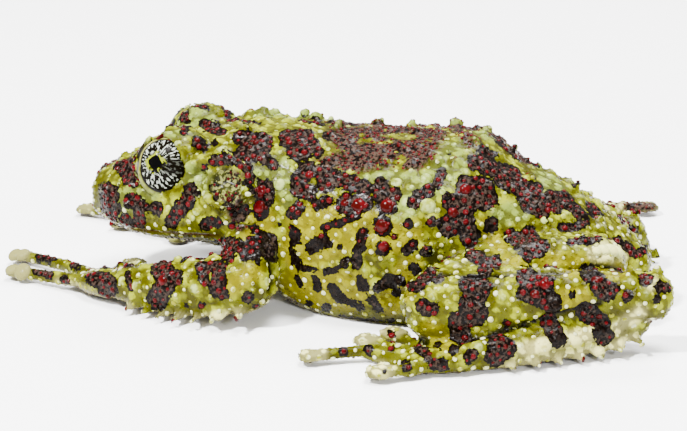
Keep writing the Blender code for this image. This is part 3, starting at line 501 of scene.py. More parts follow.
def camera_axes():
    """The direction back to the camera, and the picture's right and up."""
    azimuth = math.radians(CAMERA_AZIMUTH)
    elevation = math.radians(CAMERA_ELEVATION)
    back = Vector((
        math.sin(azimuth) * math.cos(elevation),
        -math.cos(azimuth) * math.cos(elevation),
        math.sin(elevation),
    ))
    right = (-back).cross(Vector((0, 0, 1))).normalized()
    return back, right, right.cross(-back)


BACK, RIGHT, UP = camera_axes()
CAMERA_PLACE = CAMERA_TARGET + BACK * CAMERA_DISTANCE
FOCAL_PIXELS = PIXELS_PER_MM * CAMERA_DISTANCE / MM


def make_camera():
    """The camera at the photograph's viewing angle."""
    data = bpy.data.cameras.new("camera")
    data.sensor_width = SENSOR
    data.lens = FOCAL_PIXELS * SENSOR / IMAGE_WIDTH
    data.clip_start = CLIP_NEAR
    data.clip_end = CLIP_FAR
    camera = bpy.data.objects.new("camera", data)
    bpy.context.scene.collection.objects.link(camera)
    camera.location = CAMERA_PLACE
    camera.rotation_euler = (-BACK).to_track_quat("-Z", "Y").to_euler()
    bpy.context.scene.camera = camera


def pixel_ray(across, down):
    """The direction in which a pixel of the photograph looks."""
    right = (across - IMAGE_WIDTH / 2) / FOCAL_PIXELS
    up = (IMAGE_HEIGHT / 2 - down) / FOCAL_PIXELS
    return (-BACK + RIGHT * right + UP * up).normalized()


def new_object(name, mesh_or_bmesh):
    """Link a mesh, or what a bmesh holds, as an object of the scene."""
    data = mesh_or_bmesh
    if isinstance(mesh_or_bmesh, bmesh.types.BMesh):
        data = bpy.data.meshes.new(name)
        mesh_or_bmesh.to_mesh(data)
        mesh_or_bmesh.free()
    thing = bpy.data.objects.new(name, data)
    bpy.context.scene.collection.objects.link(thing)
    return thing


def apply_modifiers(thing):
    """Replace an object's mesh by what its modifiers make of it."""
    bpy.context.view_layer.update()
    evaluated = thing.evaluated_get(bpy.context.evaluated_depsgraph_get())
    result = bpy.data.meshes.new_from_object(evaluated)
    thing.modifiers.clear()
    thing.data = result


def vectors_of(mesh, name):
    """The place or the normal of each of the mesh's points, as an array."""
    flat = np.empty(len(mesh.vertices) * 3, dtype=np.float32)
    mesh.vertices.foreach_get(name, flat)
    return flat.reshape(-1, 3).astype(np.float64)


def points_of(mesh):
    """The mesh's points as an array, in millimetres."""
    return vectors_of(mesh, "co") / MM


def set_points(mesh, points):
    """Write points given in millimetres back to a mesh."""
    mesh.vertices.foreach_set("co", (points * MM).astype(np.float32).ravel())
    mesh.update()


def keep_largest_surface(mesh):
    """Delete every loose scrap of a mesh."""
    work = bmesh.new()
    work.from_mesh(mesh)
    work.verts.ensure_lookup_table()
    label = [-1] * len(work.verts)
    sizes = []
    for start in work.verts:
        if label[start.index] >= 0:
            continue
        queue = [start]
        label[start.index] = len(sizes)
        count = 0
        while queue:
            vert = queue.pop()
            count += 1
            for edge in vert.link_edges:
                other = edge.other_vert(vert)
                if label[other.index] < 0:
                    label[other.index] = len(sizes)
                    queue.append(other)
        sizes.append(count)
    largest = sizes.index(max(sizes))
    scraps = [vert for vert in work.verts if label[vert.index] != largest]
    bmesh.ops.delete(work, geom=scraps, context="VERTS")
    work.to_mesh(mesh)
    work.free()


def base_skin():
    """One closed skin over every solid of flesh, with no seam between them."""
    joined = bmesh.new()
    for name in FLESH_NODES:
        solid = bmesh.new()
        solid.from_mesh(frame["nodes"][name].data)
        bmesh.ops.remove_doubles(solid, verts=solid.verts, dist=MERGE_DISTANCE)
        solid.normal_update()
        for vert in solid.verts:
            vert.co += vert.normal * SEAM_SWELL
        swollen = bpy.data.meshes.new("swollen")
        solid.to_mesh(swollen)
        solid.free()
        joined.from_mesh(swollen)
        bpy.data.meshes.remove(swollen)
    skin = new_object("skin", joined)
    remesh = skin.modifiers.new("remesh", "REMESH")
    remesh.mode = "VOXEL"
    remesh.voxel_size = SKIN_VOXEL
    smooth = skin.modifiers.new("smooth", "SMOOTH")
    smooth.factor = SMOOTH_SHARE
    smooth.iterations = SMOOTH_ROUNDS
    apply_modifiers(skin)
    keep_largest_surface(skin.data)
    points = points_of(skin.data) - vectors_of(skin.data, "normal") * SEAM_SWELL / MM
    points[:, 2] = np.maximum(points[:, 2], 0.0)
    set_points(skin.data, points)
    return skin


def smooth_step(values, low, high):
    """0 below low, 1 above high, and a smooth way between."""
    share = np.clip((values - low) / (high - low), 0.0, 1.0)
    return share * share * (3 - 2 * share)


def distance_to_path(points, path):
    """Each point's distance to a path of joined straight pieces."""
    nearest = np.linalg.norm(points - path[0], axis=1)
    for start, end in zip(path[:-1], path[1:]):
        along = end - start
        share = (points - start) @ along / max(float(along @ along), TINY)
        foot = start + np.clip(share, 0.0, 1.0)[:, None] * along
        nearest = np.minimum(nearest, np.linalg.norm(points - foot, axis=1))
    return nearest


class Surface:
    """The smooth skin as it is seen: its tree, its points in the photograph, what faces it."""

    def __init__(self, mesh):
        self.points = points_of(mesh)
        self.normals = vectors_of(mesh, "normal")
        polygons = [tuple(face.vertices) for face in mesh.polygons]
        self.tree = BVHTree.FromPolygons([Vector(point) for point in self.points], polygons)
        self.eye = np.array(CAMERA_PLACE) / MM
        ray = self.points - self.eye
        depth = ray @ np.array(-BACK)
        self.pixels = np.stack((
            IMAGE_WIDTH / 2 + FOCAL_PIXELS * (ray @ np.array(RIGHT)) / depth,
            IMAGE_HEIGHT / 2 - FOCAL_PIXELS * (ray @ np.array(UP)) / depth,
        ), axis=1)
        to_eye = -ray / np.linalg.norm(ray, axis=1)[:, None]
        self.facing = np.sum(self.normals * to_eye, axis=1)
        seen = np.zeros(len(self.points))
        for index in np.nonzero(self.facing > LEAST_FACING)[0]:
            lift = (self.normals[index] + to_eye[index]) * SIGHT_LIFT
            start = Vector(self.points[index] + lift)
            if self.tree.ray_cast(start, Vector(to_eye[index]))[0] is None:
                seen[index] = 1.0
        self.seen = seen * smooth_step(self.facing, *SIGHT_FADE)

    def hit(self, across, down):
        """The place on the skin under a pixel of the photograph, if there is one."""
        return self.tree.ray_cast(Vector(self.eye), pixel_ray(across, down))[0]

    def field(self, patches):
        """Signed distance in millimetres from every point to the nearest patch's edge."""
        flat = np.full(len(self.points), PAST_ALL)
        solid = np.full(len(self.points), PAST_ALL)
        for patch in patches:
            radius = patch[0]
            path = [np.array(patch[at:at + 2], dtype=float) for at in range(1, len(patch), 2)]
            flat = np.minimum(flat, distance_to_path(self.pixels, path) - radius)
            places = [self.hit(*point) for point in path]
            places = [np.array(place) for place in places if place is not None]
            if places:
                reach = distance_to_path(self.points, places) - radius / PIXELS_PER_MM
                solid = np.minimum(solid, reach)
        return self.seen * flat / PIXELS_PER_MM + (1 - self.seen) * solid


def scattered(points, gap, allowed=None):
    """Indexes of points that lie about one gap apart."""
    order = np.arange(len(points)) if allowed is None else np.nonzero(allowed)[0]
    rng.shuffle(order)
    cells = {}
    chosen = []
    for index in order:
        point = points[index]
        home = tuple(np.floor(point / gap).astype(int))
        near = False
        for step in NEIGHBOURS:
            for other in cells.get((home[0] + step[0], home[1] + step[1], home[2] + step[2]), ()):
                if np.sum((points[other] - point) ** 2) < gap * gap:
                    near = True
                    break
            if near:
                break
        if not near:
            cells.setdefault(home, []).append(index)
            chosen.append(index)
    return chosen


def add_lumps(points, normals, lumps, strength):
    """Raise round lumps of seeded sizes over the skin."""
    gap, least_radius, most_radius, least_height, most_height = lumps
    tree = KDTree(len(points))
    for index, point in enumerate(points):
        tree.insert(point, index)
    tree.balance()
    lift = np.zeros(len(points))
    for index in scattered(points, gap):
        radius = rng.uniform(least_radius, most_radius)
        height = rng.uniform(least_height, most_height) * strength[index]
        for _, other, distance in tree.find_range(points[index], radius):
            share = 1 - (distance / radius) ** 2
            lift[other] = max(lift[other], height * share * share)
    return points + normals * lift[:, None], lift / most_height


def mouth_groove(points, normals):
    """Sink the line between the lips into the head."""
    down = points[:, 2] - MOUTH_FRONT[2] - (points[:, 1] - MOUTH_FRONT[1]) * MOUTH_RISE
    ahead = 1 - smooth_step(points[:, 1], MOUTH_BACK - MOUTH_FADE, MOUTH_BACK)
    crease = np.exp(-(down / MOUTH_HALF_WIDTH) ** 2) * ahead
    return points - normals * crease[:, None] * MOUTH_DEPTH, crease


def fold_grooves(surface, points):
    """Sink the folds between parts that touch, and return how deep in them each point lies, which
    darkens them with painted shade.
    """
    crease = (1 - smooth_step(surface.field(FOLDS), *FOLD_EDGE)) * surface.seen
    return points - surface.normals * crease[:, None] * FOLD_DEPTH, crease


def spread_patches(surface, field):
    """Seeded dark patches where the photograph doesn't reach."""
    points = surface.points
    clear = (surface.seen < MOST_SEEN) & (surface.normals[:, 2] > LEAST_UPWARD)
    clear &= field > TRACED_CLEARANCE
    for disc in DISC_PLACES:
        clear &= np.linalg.norm(points - np.array(disc), axis=1) > DISC_PALE_REACH + DISC_CLEARANCE
    solid = np.full(len(points), PAST_ALL)
    for index in scattered(points, PATCH_GAP, clear):
        radius = rng.uniform(*PATCH_RADIUS)
        path = [points[index]]
        for _ in range(PATCH_STEPS):
            step = rng.normal(size=3) * PATCH_STEP_LENGTH
            step -= surface.normals[index] * (step @ surface.normals[index])
            path.append(path[-1] + step)
        solid = np.minimum(solid, distance_to_path(points, path) - radius)
    clearance = SEEN_CLEARANCE * smooth_step(surface.seen, *SEEN_FADE)
    return np.minimum(field, solid + clearance)


def paint_fields(surface):
    """The amounts of each marking at every point of the skin."""
    points = surface.points
    hidden = 1 - smooth_step(surface.seen, *HIDDEN_FADE)
    along = points[:, 1]
    on_trunk = (np.abs(points[:, 0]) < TRUNK_HALF_WIDTH) & (along > TRUNK_FRONT) & (along < TRUNK_REAR)
    dark = spread_patches(surface, surface.field(DARK_PATCHES))
    amount = {}
    for name, patches in (
        ("yellow", YELLOW_PATCHES), ("moss", MOSS_PATCHES),
        ("cream", CREAM_PATCHES), ("brown", BROWN_PATCHES),
    ):
        amount[name] = smooth_step(-surface.field(patches), *PATCH_EDGE)
    up = surface.normals[:, 2]
    flank = on_trunk * (1 - smooth_step(np.abs(up), *FLANK_TURN))
    flank = flank * smooth_step(along, *FLANK_FRONT_FADE)
    crest = on_trunk * smooth_step(up, *CREST_TURN) * smooth_step(points[:, 2], *CREST_HEIGHT)
    crest *= smooth_step(along, *CREST_FRONT_FADE) * (1 - smooth_step(along, *CREST_REAR_FADE))
    amount["yellow"] = np.maximum(amount["yellow"], FLANK_SHARE * flank * hidden)
    amount["brown"] = np.maximum(amount["brown"], crest * hidden)
    amount["brown"] *= 1 - MOSS_OVER_BROWN * amount["moss"]
    for disc in DISC_PLACES:
        reach = np.linalg.norm(points - np.array(disc), axis=1)
        pale = 1 - smooth_step(reach, DISC_PALE_REACH - DISC_EDGE, DISC_PALE_REACH)
        amount["cream"] = np.maximum(amount["cream"], pale)
        dark = dark + DISC_LIGHTER * pale * hidden
    amount["ear"] = np.zeros(len(points))
    middle = np.array(surface.hit(*EAR_PIXEL))
    for flip in (1, -1):
        reach = np.linalg.norm(points - middle * (flip, 1, 1), axis=1)
        amount["ear"] = np.maximum(amount["ear"], 1 - smooth_step(reach, *EAR_EDGE))
    belly = smooth_step(-up, *BELLY_TURN) * hidden
    amount["belly"] = belly
    amount["dark"] = dark + BELLY_LIGHTER * belly
    return amount


def write_fields(mesh, amount, picked=None, copies=1):
    """Store the amounts on a mesh, each picked one repeated for its copies."""
    for name, values in amount.items():
        if picked is not None:
            values = np.repeat(values[picked], copies)
        layer = mesh.attributes.new(name, "FLOAT", "POINT")
        layer.data.foreach_set("value", values.astype(np.float32))


def shape_skin(skin, surface):
    """Carve and lump the skin, store its markings on it, and return their amounts."""
    amount = paint_fields(surface)
    shaped, amount["crease"] = mouth_groove(surface.points, surface.normals)
    # The folds' depth, which also paints shade in them
    shaped, amount["fold"] = fold_grooves(surface, shaped)
    grown = 1 - UNDERSIDE_LOSS * smooth_step(-surface.normals[:, 2], *UNDERSIDE_TURN)
    grown *= smooth_step(surface.points[:, 2], *FLOOR_RISE)
    grown *= SNOUT_SHARE + (1 - SNOUT_SHARE) * smooth_step(surface.points[:, 1], *SNOUT_FADE)
    shaped, big_rise = add_lumps(shaped, surface.normals, BIG_LUMPS, grown)
    shaped, small_rise = add_lumps(shaped, surface.normals, SMALL_LUMPS, grown)
    amount["rise"] = np.maximum(big_rise, small_rise)
    set_points(skin.data, shaped)
    write_fields(skin.data, amount)
    skin.data.shade_smooth()
    return amount


def unwrapped(mesh):
    """Where each point of the skin lies on an unwrap of the skin's own shape."""
    copy = new_object("unwrap", mesh.copy())
    bpy.context.view_layer.objects.active = copy
    for other in bpy.context.view_layer.objects:
        other.select_set(other is copy)
    bpy.ops.object.mode_set(mode="EDIT")
    bpy.ops.mesh.select_all(action="SELECT")
    bpy.ops.uv.smart_project(angle_limit=UNWRAP_ANGLE, island_margin=UNWRAP_MARGIN)
    bpy.ops.object.mode_set(mode="OBJECT")
    corner_place = np.empty(len(copy.data.loops) * 2, dtype=np.float32)
    copy.data.uv_layers.active.data.foreach_get("uv", corner_place)
    corner_point = np.empty(len(copy.data.loops), dtype=np.int32)
    copy.data.loops.foreach_get("vertex_index", corner_point)
    place = np.zeros((len(copy.data.vertices), 2))
    place[corner_point] = corner_place.reshape(-1, 2)
    bpy.data.objects.remove(copy)
    return place


def dome_shape(sides, rings, sunk):
    """A small dome's points and faces: unit radius, unit height, its rim sunk below."""
    work = bmesh.new()
    bmesh.ops.create_uvsphere(work, u_segments=sides, v_segments=rings * 2, radius=1.0)
    below = [vert for vert in work.verts if vert.co.z < -RIM_BAND]
    bmesh.ops.delete(work, geom=below, context="VERTS")
    bmesh.ops.triangulate(work, faces=work.faces)
    points = np.array([tuple(vert.co) for vert in work.verts])
    points[points[:, 2] < RIM_BAND, 2] = -sunk
    faces = np.array([[vert.index for vert in face.verts] for face in work.faces])
    work.free()
    return points, faces


# The finished skin: its points in millimetres, its normals, and its places on the map
Ground = namedtuple("Ground", "points normals places")


def scatter_domes(name, template, ground, roots, radii, flatness, material, marks):
    """Joined meshes of domes on the skin, each with its root's markings and map place."""
    shape, faces = dome_shape(*template)
    heights = radii * flatness
    made = []
    for part, first in enumerate(range(0, len(roots), DOMES_PER_MESH)):
        last = first + DOMES_PER_MESH
        chosen = np.array(roots[first:last])
        size = radii[first:last]
        rise = heights[first:last]
        up = ground.normals[chosen]
        side = np.cross(up, DOME_TURN)
        side /= np.maximum(np.linalg.norm(side, axis=1), TINY)[:, None]
        ahead = np.cross(up, side)
        scaled = shape[None] * np.stack((size, size, rise), axis=1)[:, None, :]
        points = ground.points[chosen][:, None, :] + scaled[:, :, 0:1] * side[:, None, :]
        points = points + scaled[:, :, 1:2] * ahead[:, None, :] + scaled[:, :, 2:3] * up[:, None, :]
        points = points.reshape(-1, 3)
        points[:, 2] = np.maximum(points[:, 2], 0.0)
        corners = faces[None] + (np.arange(len(chosen)) * len(shape))[:, None, None]
        mesh = bpy.data.meshes.new(f"{name}_{part}")
        mesh.from_pydata(points * MM, [], corners.reshape(-1, 3), shade_flat=False)
        spread = ground.places[chosen][:, None, :] + shape[None, :, :2] * MAP_PATCH
        layer = mesh.uv_layers.new(name="OFBake")
        layer.data.foreach_set("uv", spread.reshape(-1, 2)[corners.ravel()].astype(np.float32).ravel())
        mesh.materials.append(material)
        write_fields(mesh, marks, chosen, len(shape))
        made.append(new_object(f"{name}_{part}", mesh))
    return made


def spread_beads(name, shape, ground, allowed, beads, material, marks):
    """Seeded beads over the allowed part of the skin."""
    gap, least, most, flatness = beads
    roots = scattered(ground.points, gap, allowed)
    radii = least + (most - least) * rng.uniform(0, 1, len(roots)) ** SMALL_BEAD_BIAS
    return scatter_domes(name, shape, ground, roots, radii, flatness, material, marks)


def placed_domes(name, domes, ground, surface, flatness, material, marks):
    """Large domes under named pixels of the photograph."""
    roots = []
    radii = []
    for across, down, radius in domes:
        place = surface.hit(across, down)
        if place is not None:
            nearest = np.sum((ground.points - np.array(place)) ** 2, axis=1).argmin()
            roots.append(int(nearest))
            radii.append(radius)
    return scatter_domes(name, LARGE_DOME, ground, roots, np.array(radii), flatness, material, marks)


def bead_areas(surface, amount):
    """Where each kind of bead may sit, as masks over the skin's points."""
    across, along, height = surface.points.T
    light = (amount["dark"] > EDGE_CLEARANCE) & (amount["belly"] < MOST_BELLY)
    light &= (height > FLOOR_CLEARANCE) & (amount["brown"] < HALF_MARKED)
    low_flank = (height < LOW_FLANK_TOP) & (np.abs(across) < LOW_FLANK_SIDE)
    low_flank &= (along > LOW_FLANK_FRONT) & (along < LOW_FLANK_REAR)
    inside = (amount["dark"] < -EDGE_CLEARANCE) & (height > FLOOR_CLEARANCE) & ~low_flank
    inside &= (amount["yellow"] < HALF_MARKED) | (along < LOW_FLANK_REAR)
    topside = (surface.normals[:, 2] > TOPSIDE_TURN) | (along < HEAD_REAR)
    topside &= height > TOPSIDE_HEIGHT
    return {
        "pearls": light & ~topside,
        "knobs": light & topside,
        "red_beads": inside,
        "back_beads": (amount["dark"] > BROWN_CLEARANCE) & (amount["brown"] > LEAST_BROWN),
        "grains": height > GRAIN_FLOOR_CLEARANCE,
        "ear_grains": amount["ear"] > LEAST_EAR,
    }


class Value:
    """A socket of a material that takes part in written sums."""

    def __init__(self, tree, socket=None):
        self.tree = tree
        self.socket = socket

    def node(self, kind, inputs=None, output=0, **settings):
        """Add a node, with sockets or plain values in its inputs, and return an output."""
        node = self.tree.nodes.new(kind)
        for name, setting in settings.items():
            setattr(node, name, setting)
        for key, value in (inputs or {}).items():
            if isinstance(value, Value):
                self.tree.links.new(value.socket, node.inputs[key])
            else:
                node.inputs[key].default_value = value
        return Value(self.tree, node.outputs[output])

    def sum(self, operation, first, second):
        """One step of a written sum."""
        return self.node("ShaderNodeMath", {0: first, 1: second}, operation=operation)

    def __add__(self, other):
        return self.sum("ADD", self, other)

    def __radd__(self, other):
        return self.sum("ADD", other, self)

    def __sub__(self, other):
        return self.sum("SUBTRACT", self, other)

    def __rsub__(self, other):
        return self.sum("SUBTRACT", other, self)

    def __mul__(self, other):
        return self.sum("MULTIPLY", self, other)

    def __rmul__(self, other):
        return self.sum("MULTIPLY", other, self)


def step_between(value, low, high):
    """0 at low, 1 at high, smooth between."""
    inputs = {0: value, 1: low, 2: high}
    return value.node("ShaderNodeMapRange", inputs, interpolation_type="SMOOTHSTEP")


def blend(share, first, second):
    """A colour between two colours."""
    inputs = {0: share, 6: first, 7: second}
    return share.node("ShaderNodeMix", inputs, output=2, data_type="RGBA")


def noise(place, scale, detail):
    """Cloudy values from 0 to 1, so many waves to a millimetre."""
    return place.node("ShaderNodeTexNoise", {"Vector": place, "Scale": scale, "Detail": detail})


def clouds(place, kind):
    """A mask of clouds: 0 between them, 1 inside them."""
    scale, detail, low, high = kind
    return step_between(noise(place, scale, detail), low, high)


def new_material(name):
    """A material with its surface node and its place in millimetres."""
    material = bpy.data.materials.new(name)
    material.use_nodes = True
    tree = material.node_tree
    start = Value(tree)
    place = start.node("ShaderNodeTexCoord", output=3)
    scaled = start.node(
        "ShaderNodeVectorMath", {0: place, 1: (1 / MM, 1 / MM, 1 / MM)}, operation="MULTIPLY")
    return material, tree.nodes["Principled BSDF"], scaled


def attribute(place, name):
    """One of the amounts stored on the mesh."""
    return place.node("ShaderNodeAttribute", output=2, attribute_name=name)


def feed(surface, name, value):
    """Link a value to one of a surface's sockets."""
    value.tree.links.new(value.socket, surface.inputs[name])


def add_relief(surface, height, relief):
    """Link fine relief of a strength and a depth to a surface's normal."""
    strength, depth = relief
    inputs = {"Height": height, "Strength": strength, "Distance": depth}
    feed(surface, "Normal", height.node("ShaderNodeBump", inputs))


def set_gloss(surface, gloss):
    """Set a surface's sockets from their names and values."""
    for name, value in gloss.items():
        surface.inputs[name].default_value = value


def coat_colour(place):
    """The skin's colour: light ground, dark patches with ragged edges, pale belly."""
    ragged = noise(place, *RAGGED_NOISE)
    fine = noise(place, *FINE_NOISE)
    yellow = attribute(place, "yellow")
    rise = attribute(place, "rise")
    ground = blend(clouds(place, GROUND_CLOUDS), OLIVE, YELLOW_GREEN)
    ground = blend(yellow, ground, FLANK_YELLOW)
    ground = blend(attribute(place, "moss"), ground, MOSS_GREEN)
    ground = blend(attribute(place, "cream"), ground, CREAM)
    # Painted shade in the valleys between lumps, and pale tops over them, partly painted light
    valley_shade = step_between(rise, *VALLEY_SHADE_RISE) * (yellow * YELLOW_VALLEY_SHADE_LESS + VALLEY_SHADE_SHARE)
    ground = blend(valley_shade, ground, blend(yellow, VALLEY_SHADE, GOLD_VALLEY_SHADE))
    pale_lit_tops = step_between(rise, *PALE_LIT_TOP_RISE) * clouds(place, PALE_LIT_TOP_CLOUDS)
    ground = blend(pale_lit_tops * PALE_LIT_TOP_SHARE, ground, blend(yellow, PALE_AND_LIT_GREEN, PALE_AND_LIT_YELLOW))
    ground = blend(attribute(place, "crease"), ground, LIP_BROWN)
    # Painted shade in the folds between parts that touch
    ground = blend(attribute(place, "fold"), ground, BLACK_BROWN)
    under = blend(clouds(place, BELLY_CLOUDS), BELLY_GREY, BACK_BROWN)
    ground = blend(attribute(place, "belly"), ground, under)
    brown = attribute(place, "brown") * clouds(place, BROWN_CLOUDS)
    ground = blend(brown, ground, blend(step_between(fine, *BROWN_FINE), BLACK_BROWN, BACK_BROWN))
    edge = attribute(place, "dark") + (ragged - NOISE_MIDDLE) * RAGGED_REACH
    edge = edge + (fine - NOISE_MIDDLE) * FINE_REACH
    dark = blend(clouds(place, MAROON_CLOUDS), BLACK_BROWN, MAROON)
    dark = blend(yellow * YELLOW_BLACKENS, dark, BLACK_BROWN)
    dark = blend(step_between(edge, *PATCH_BORDER), dark, BLACK_BROWN)
    colour = blend(step_between(edge, *PATCH_TURN), ground, dark)
    speckle = blend(clouds(place, EAR_CLOUDS), EAR_DARK, EAR_PALE)
    return blend(attribute(place, "ear") * EAR_SHARE, colour, speckle)


def skin_material(name):
    """Wet warty skin."""
    material, surface, place = new_material(name)
    feed(surface, "Base Color", coat_colour(place))
    feed(surface, "Roughness", SKIN_ROUGHNESS + noise(place, *WET_NOISE) * WET_ROUGHNESS)
    add_relief(surface, noise(place, *SKIN_GRAIN), SKIN_RELIEF)
    set_gloss(surface, SKIN_GLOSS)
    return material


def bead_material(name, first, second, roughness):
    """Small wet beads between two colours."""
    material, surface, place = new_material(name)
    feed(surface, "Base Color", blend(clouds(place, BEAD_CLOUDS), first, second))
    set_gloss(surface, dict(BEAD_GLOSS, Roughness=roughness))
    return material


def lid_profile(lower):
    """Steps out from a lid's edge, and distances from the ball's middle, row by row."""
    rows = []
    for thin, thick in zip(THIN_LID, THICK_LID):
        step = thin[0] + (thick[0] - thin[0]) * lower
        reach = thin[1] + (thick[1] - thin[1]) * lower
        rows.append((step, reach))
    return rows


def eye_lids(name, middle, outward, flip):
    """Both lids of an eye as one soft rim: thin above, a thick crescent below."""
    outward = outward.normalized()
    rearward = (Vector((0, 1, 0)) - outward * outward.y).normalized()
    up = rearward.cross(outward) * -flip
    work = bmesh.new()
    row_layer = work.verts.layers.float.new("row")
    lower_layer = work.verts.layers.float.new("lower")
    loops = []
    for index in range(LID_STEPS):
        angle = 2 * math.pi * index / LID_STEPS
        lower = 0.5 + 0.5 * math.cos(angle + THICK_TURN)
        lower = min(max(lower * THICK_GAIN - THICK_LOSS, 0.0), 1.0)
        bend = (angle + math.pi) % (2 * math.pi) - math.pi
        opening = LID_OPENING + LID_TALLER * abs(math.sin(angle))
        opening += LID_CORNER * math.exp(-(bend / LID_CORNER_WIDE) ** 2)
        opening -= LID_FLATTER * math.exp(-((abs(bend) - LID_FLAT_AT) / LID_CORNER_WIDE) ** 2)
        polar = math.asin(min(opening / EYE_RADIUS, LID_WIDEST))
        loop = []
        for number, (step, reach) in enumerate(lid_profile(lower)):
            lean = polar + step / EYE_RADIUS
            ring = rearward * math.cos(angle) + up * math.sin(angle)
            place = middle + (outward * math.cos(lean) + ring * math.sin(lean)) * reach
            vert = work.verts.new(place * MM)
            vert[row_layer] = number
            vert[lower_layer] = lower
            loop.append(vert)
        loops.append(loop)
    for index, loop in enumerate(loops):
        following = loops[(index + 1) % LID_STEPS]
        for number in range(len(loop) - 1):
            corners = (loop[number], following[number], following[number + 1], loop[number + 1])
            work.faces.new(corners).smooth = True
    bmesh.ops.recalc_face_normals(work, faces=work.faces)
    return new_object(name, work)


def lid_material():
    """Pale lids: a dark inner edge, a yellow rim above, green below, and the skin's colours around."""
    material, surface, place = new_material("lids")
    row = attribute(place, "row")
    rim = blend(attribute(place, "lower"), LID_CREAM, LID_GREEN)
    rim = blend(clouds(place, LID_CLOUDS) * LID_OLIVE_SHARE, rim, OLIVE)
    colour = blend(step_between(row, *LID_EDGE_ROWS), rim, BLACK_BROWN)
    colour = blend(step_between(row, *LID_FOLD_ROWS), colour, BLACK_BROWN)
    around = blend(clouds(place, NEAR_EYE_CLOUDS), OLIVE, YELLOW_GREEN)
    around = blend(clouds(place, NEAR_EYE_SPOTS), around, BLACK_BROWN)
    feed(surface, "Base Color", blend(step_between(row, *LID_SKIN_ROWS), colour, around))
    add_relief(surface, noise(place, *LID_GRAIN), LID_RELIEF)
    set_gloss(surface, LID_GLOSS)
    return material


def eye_ball(name, middle, outward):
    """One eyeball, with its pupil's axis along outward."""
    work = bmesh.new()
    bmesh.ops.create_uvsphere(work, u_segments=EYE_SIDES, v_segments=EYE_RINGS, radius=EYE_RADIUS * MM)
    for face in work.faces:
        face.smooth = True
    turn = outward.to_track_quat("Z", "Y").to_matrix().to_4x4()
    bmesh.ops.transform(work, matrix=Matrix.Translation(middle * MM) @ turn, verts=work.verts)
    layer = work.loops.layers.uv.new("iris")
    side = outward.cross(Vector((0, 0, 1))).normalized()
    rise = side.cross(outward)
    for face in work.faces:
        for loop in face.loops:
            arm = loop.vert.co / MM - middle
            loop[layer].uv = (arm.dot(side) / EYE_RADIUS, arm.dot(rise) / EYE_RADIUS)
    return new_object(name, work)


def eye_material():
    """A black iris netted with silver, a green-rimmed pupil, a wet cornea."""
    material, surface, place = new_material("eye_surface")
    uv = place.node("ShaderNodeUVMap", uv_map="iris")
    across = uv.node("ShaderNodeSeparateXYZ", {0: uv})
    rise = uv.node("ShaderNodeSeparateXYZ", {0: uv}, output=1)
    wide = across.node("ShaderNodeMath", {0: across}, operation="ABSOLUTE")
    tall = rise.node("ShaderNodeMath", {0: rise}, operation="ABSOLUTE")
    radius = wide.node("ShaderNodeVectorMath", {0: uv}, output=1, operation="LENGTH")
    pupil = wide * PUPIL_WIDE + tall * PUPIL_TALL + radius * PUPIL_ROUND
    pupil = pupil + (noise(uv, *PUPIL_NOISE) - NOISE_MIDDLE) * PUPIL_RAGGED
    turn = across.node("ShaderNodeMath", {0: rise, 1: across}, operation="ARCTAN2")
    spokes = turn.node("ShaderNodeCombineXYZ", {0: turn * SPOKES_ROUND, 1: radius * SPOKES_OUT})
    net = noise(spokes, *SPOKE_NOISE) * SPOKE_SHARE + noise(uv, *NET_NOISE) * (1 - SPOKE_SHARE)
    silver = step_between(net, *SILVER_NET) * step_between(radius, *SILVER_FROM)
    colour = blend(silver, IRIS_BLACK, IRIS_SILVER)
    shade = step_between(across, *SHADE_SIDE) * step_between(rise, *SHADE_TOP)
    shade = shade * step_between(rise, *SHADE_FOOT)
    colour = blend(shade * SHADE_SHARE, colour, IRIS_SHADE)
    ring = step_between(pupil, *RING_EDGE) * clouds(uv, RING_CLOUDS)
    colour = blend(ring, colour, RING_GREEN)
    colour = blend(step_between(pupil, *PUPIL_EDGE), colour, PUPIL_BLACK)
    colour = blend(step_between(radius, *IRIS_EDGE), colour, EYE_RIM)
    around = blend(clouds(place, NEAR_EYE_CLOUDS), OLIVE, YELLOW_GREEN)
    feed(surface, "Base Color", blend(step_between(radius, *SKIN_FROM), colour, around))
    set_gloss(surface, EYE_GLOSS)
    return material


def add_stage():
    """A plain pale floor and soft studio light."""
    work = bmesh.new()
    bmesh.ops.create_grid(work, x_segments=1, y_segments=1, size=FLOOR_REACH)
    floor = new_object("floor", work)
    material, surface, _ = new_material("floor")
    surface.inputs["Base Color"].default_value = FLOOR_COLOUR
    set_gloss(surface, FLOOR_GLOSS)
    floor.data.materials.append(material)
    world = bpy.data.worlds.new("studio")
    bpy.context.scene.world = world
    world.use_nodes = True
    background = world.node_tree.nodes["Background"]
    background.inputs["Color"].default_value = WHITE
    background.inputs["Strength"].default_value = WORLD_LIGHT
    for name, place, size, power in LAMPS:
        data = bpy.data.lights.new(name, "AREA")
        data.size = size
        data.energy = power
        lamp = bpy.data.objects.new(name, data)
        bpy.context.scene.collection.objects.link(lamp)
        lamp.location = place
        lamp.rotation_euler = (CAMERA_TARGET - Vector(place)).to_track_quat("-Z", "Y").to_euler()


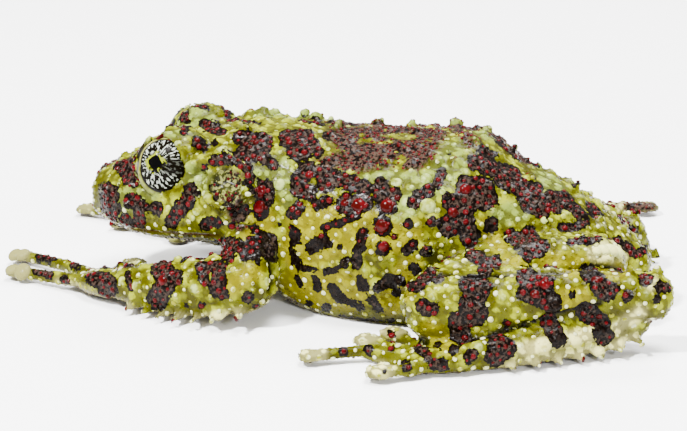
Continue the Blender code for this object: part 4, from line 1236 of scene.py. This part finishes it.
make_camera()
skin = base_skin()
surface = Surface(skin.data)
amount = shape_skin(skin, surface)
ground = Ground(points_of(skin.data), vectors_of(skin.data, "normal"), unwrapped(skin.data))
# Knobs and pale domes take a high rise, so they get the pale tops, partly painted light
raised = dict(amount, rise=np.full(len(ground.points), RAISED))

coat = skin_material("coat")
pearl = bead_material("pearl", PEARL, PEARL_SIDE, PEARL_ROUGHNESS)
red = bead_material("red_bead", RED, RED_DEEP, RED_ROUGHNESS)
skin.data.materials.clear()
skin.data.materials.append(coat)

pieces = [skin]
areas = bead_areas(surface, amount)
for name, shape, beads, material, marks in (
    ("pearls", DOME, PEARLS, pearl, amount),
    ("knobs", DOME, KNOBS, coat, raised),
    ("red_beads", BEAD, RED_BEADS, red, amount),
    ("back_beads", BEAD, BACK_BEADS, red, amount),
    ("grains", GRAIN, GRAINS, coat, amount),
    ("ear_grains", GRAIN, EAR_GRAINS, coat, amount),
):
    pieces += spread_beads(name, shape, ground, areas[name], beads, material, marks)
for name, domes, flatness, material, marks in (
    ("red_domes", RED_DOMES, DOME_FLATNESS, red, amount),
    ("pale_domes", PALE_DOMES, DOME_FLATNESS, coat, raised),
    ("disc_domes", DISC_DOMES, DOME_FLATNESS, coat, amount),
    ("cream_domes", CREAM_DOMES, CREAM_DOME_FLATNESS, coat, raised),
):
    pieces += placed_domes(name, domes, ground, surface, flatness, material, marks)

eyes = []
lids = []
for name, turn in (("eye_left", 1), ("eye_right", -1)):
    middle = Vector((EYE_MIDDLE.x * turn, EYE_MIDDLE.y, EYE_MIDDLE.z))
    aside = Vector((turn, 1, 1))
    eyes.append(eye_ball(name + "_ball", middle, (PUPIL_OUTWARD * aside).normalized()))
    lids.append(eye_lids(name + "_lids", middle, EYE_OUTWARD * aside, turn))
eye_look = eye_material()
for ball in eyes:
    ball.data.materials.append(eye_look)

lid_look = lid_material()
for rim in lids:
    rim.data.materials.append(lid_look)
pieces += lids

for piece in pieces:
    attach(piece, "root")
for ball in eyes:
    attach(ball, "root")
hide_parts(*FLESH_NODES)
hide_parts("eye_left")
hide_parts("eye_right")
add_stage()
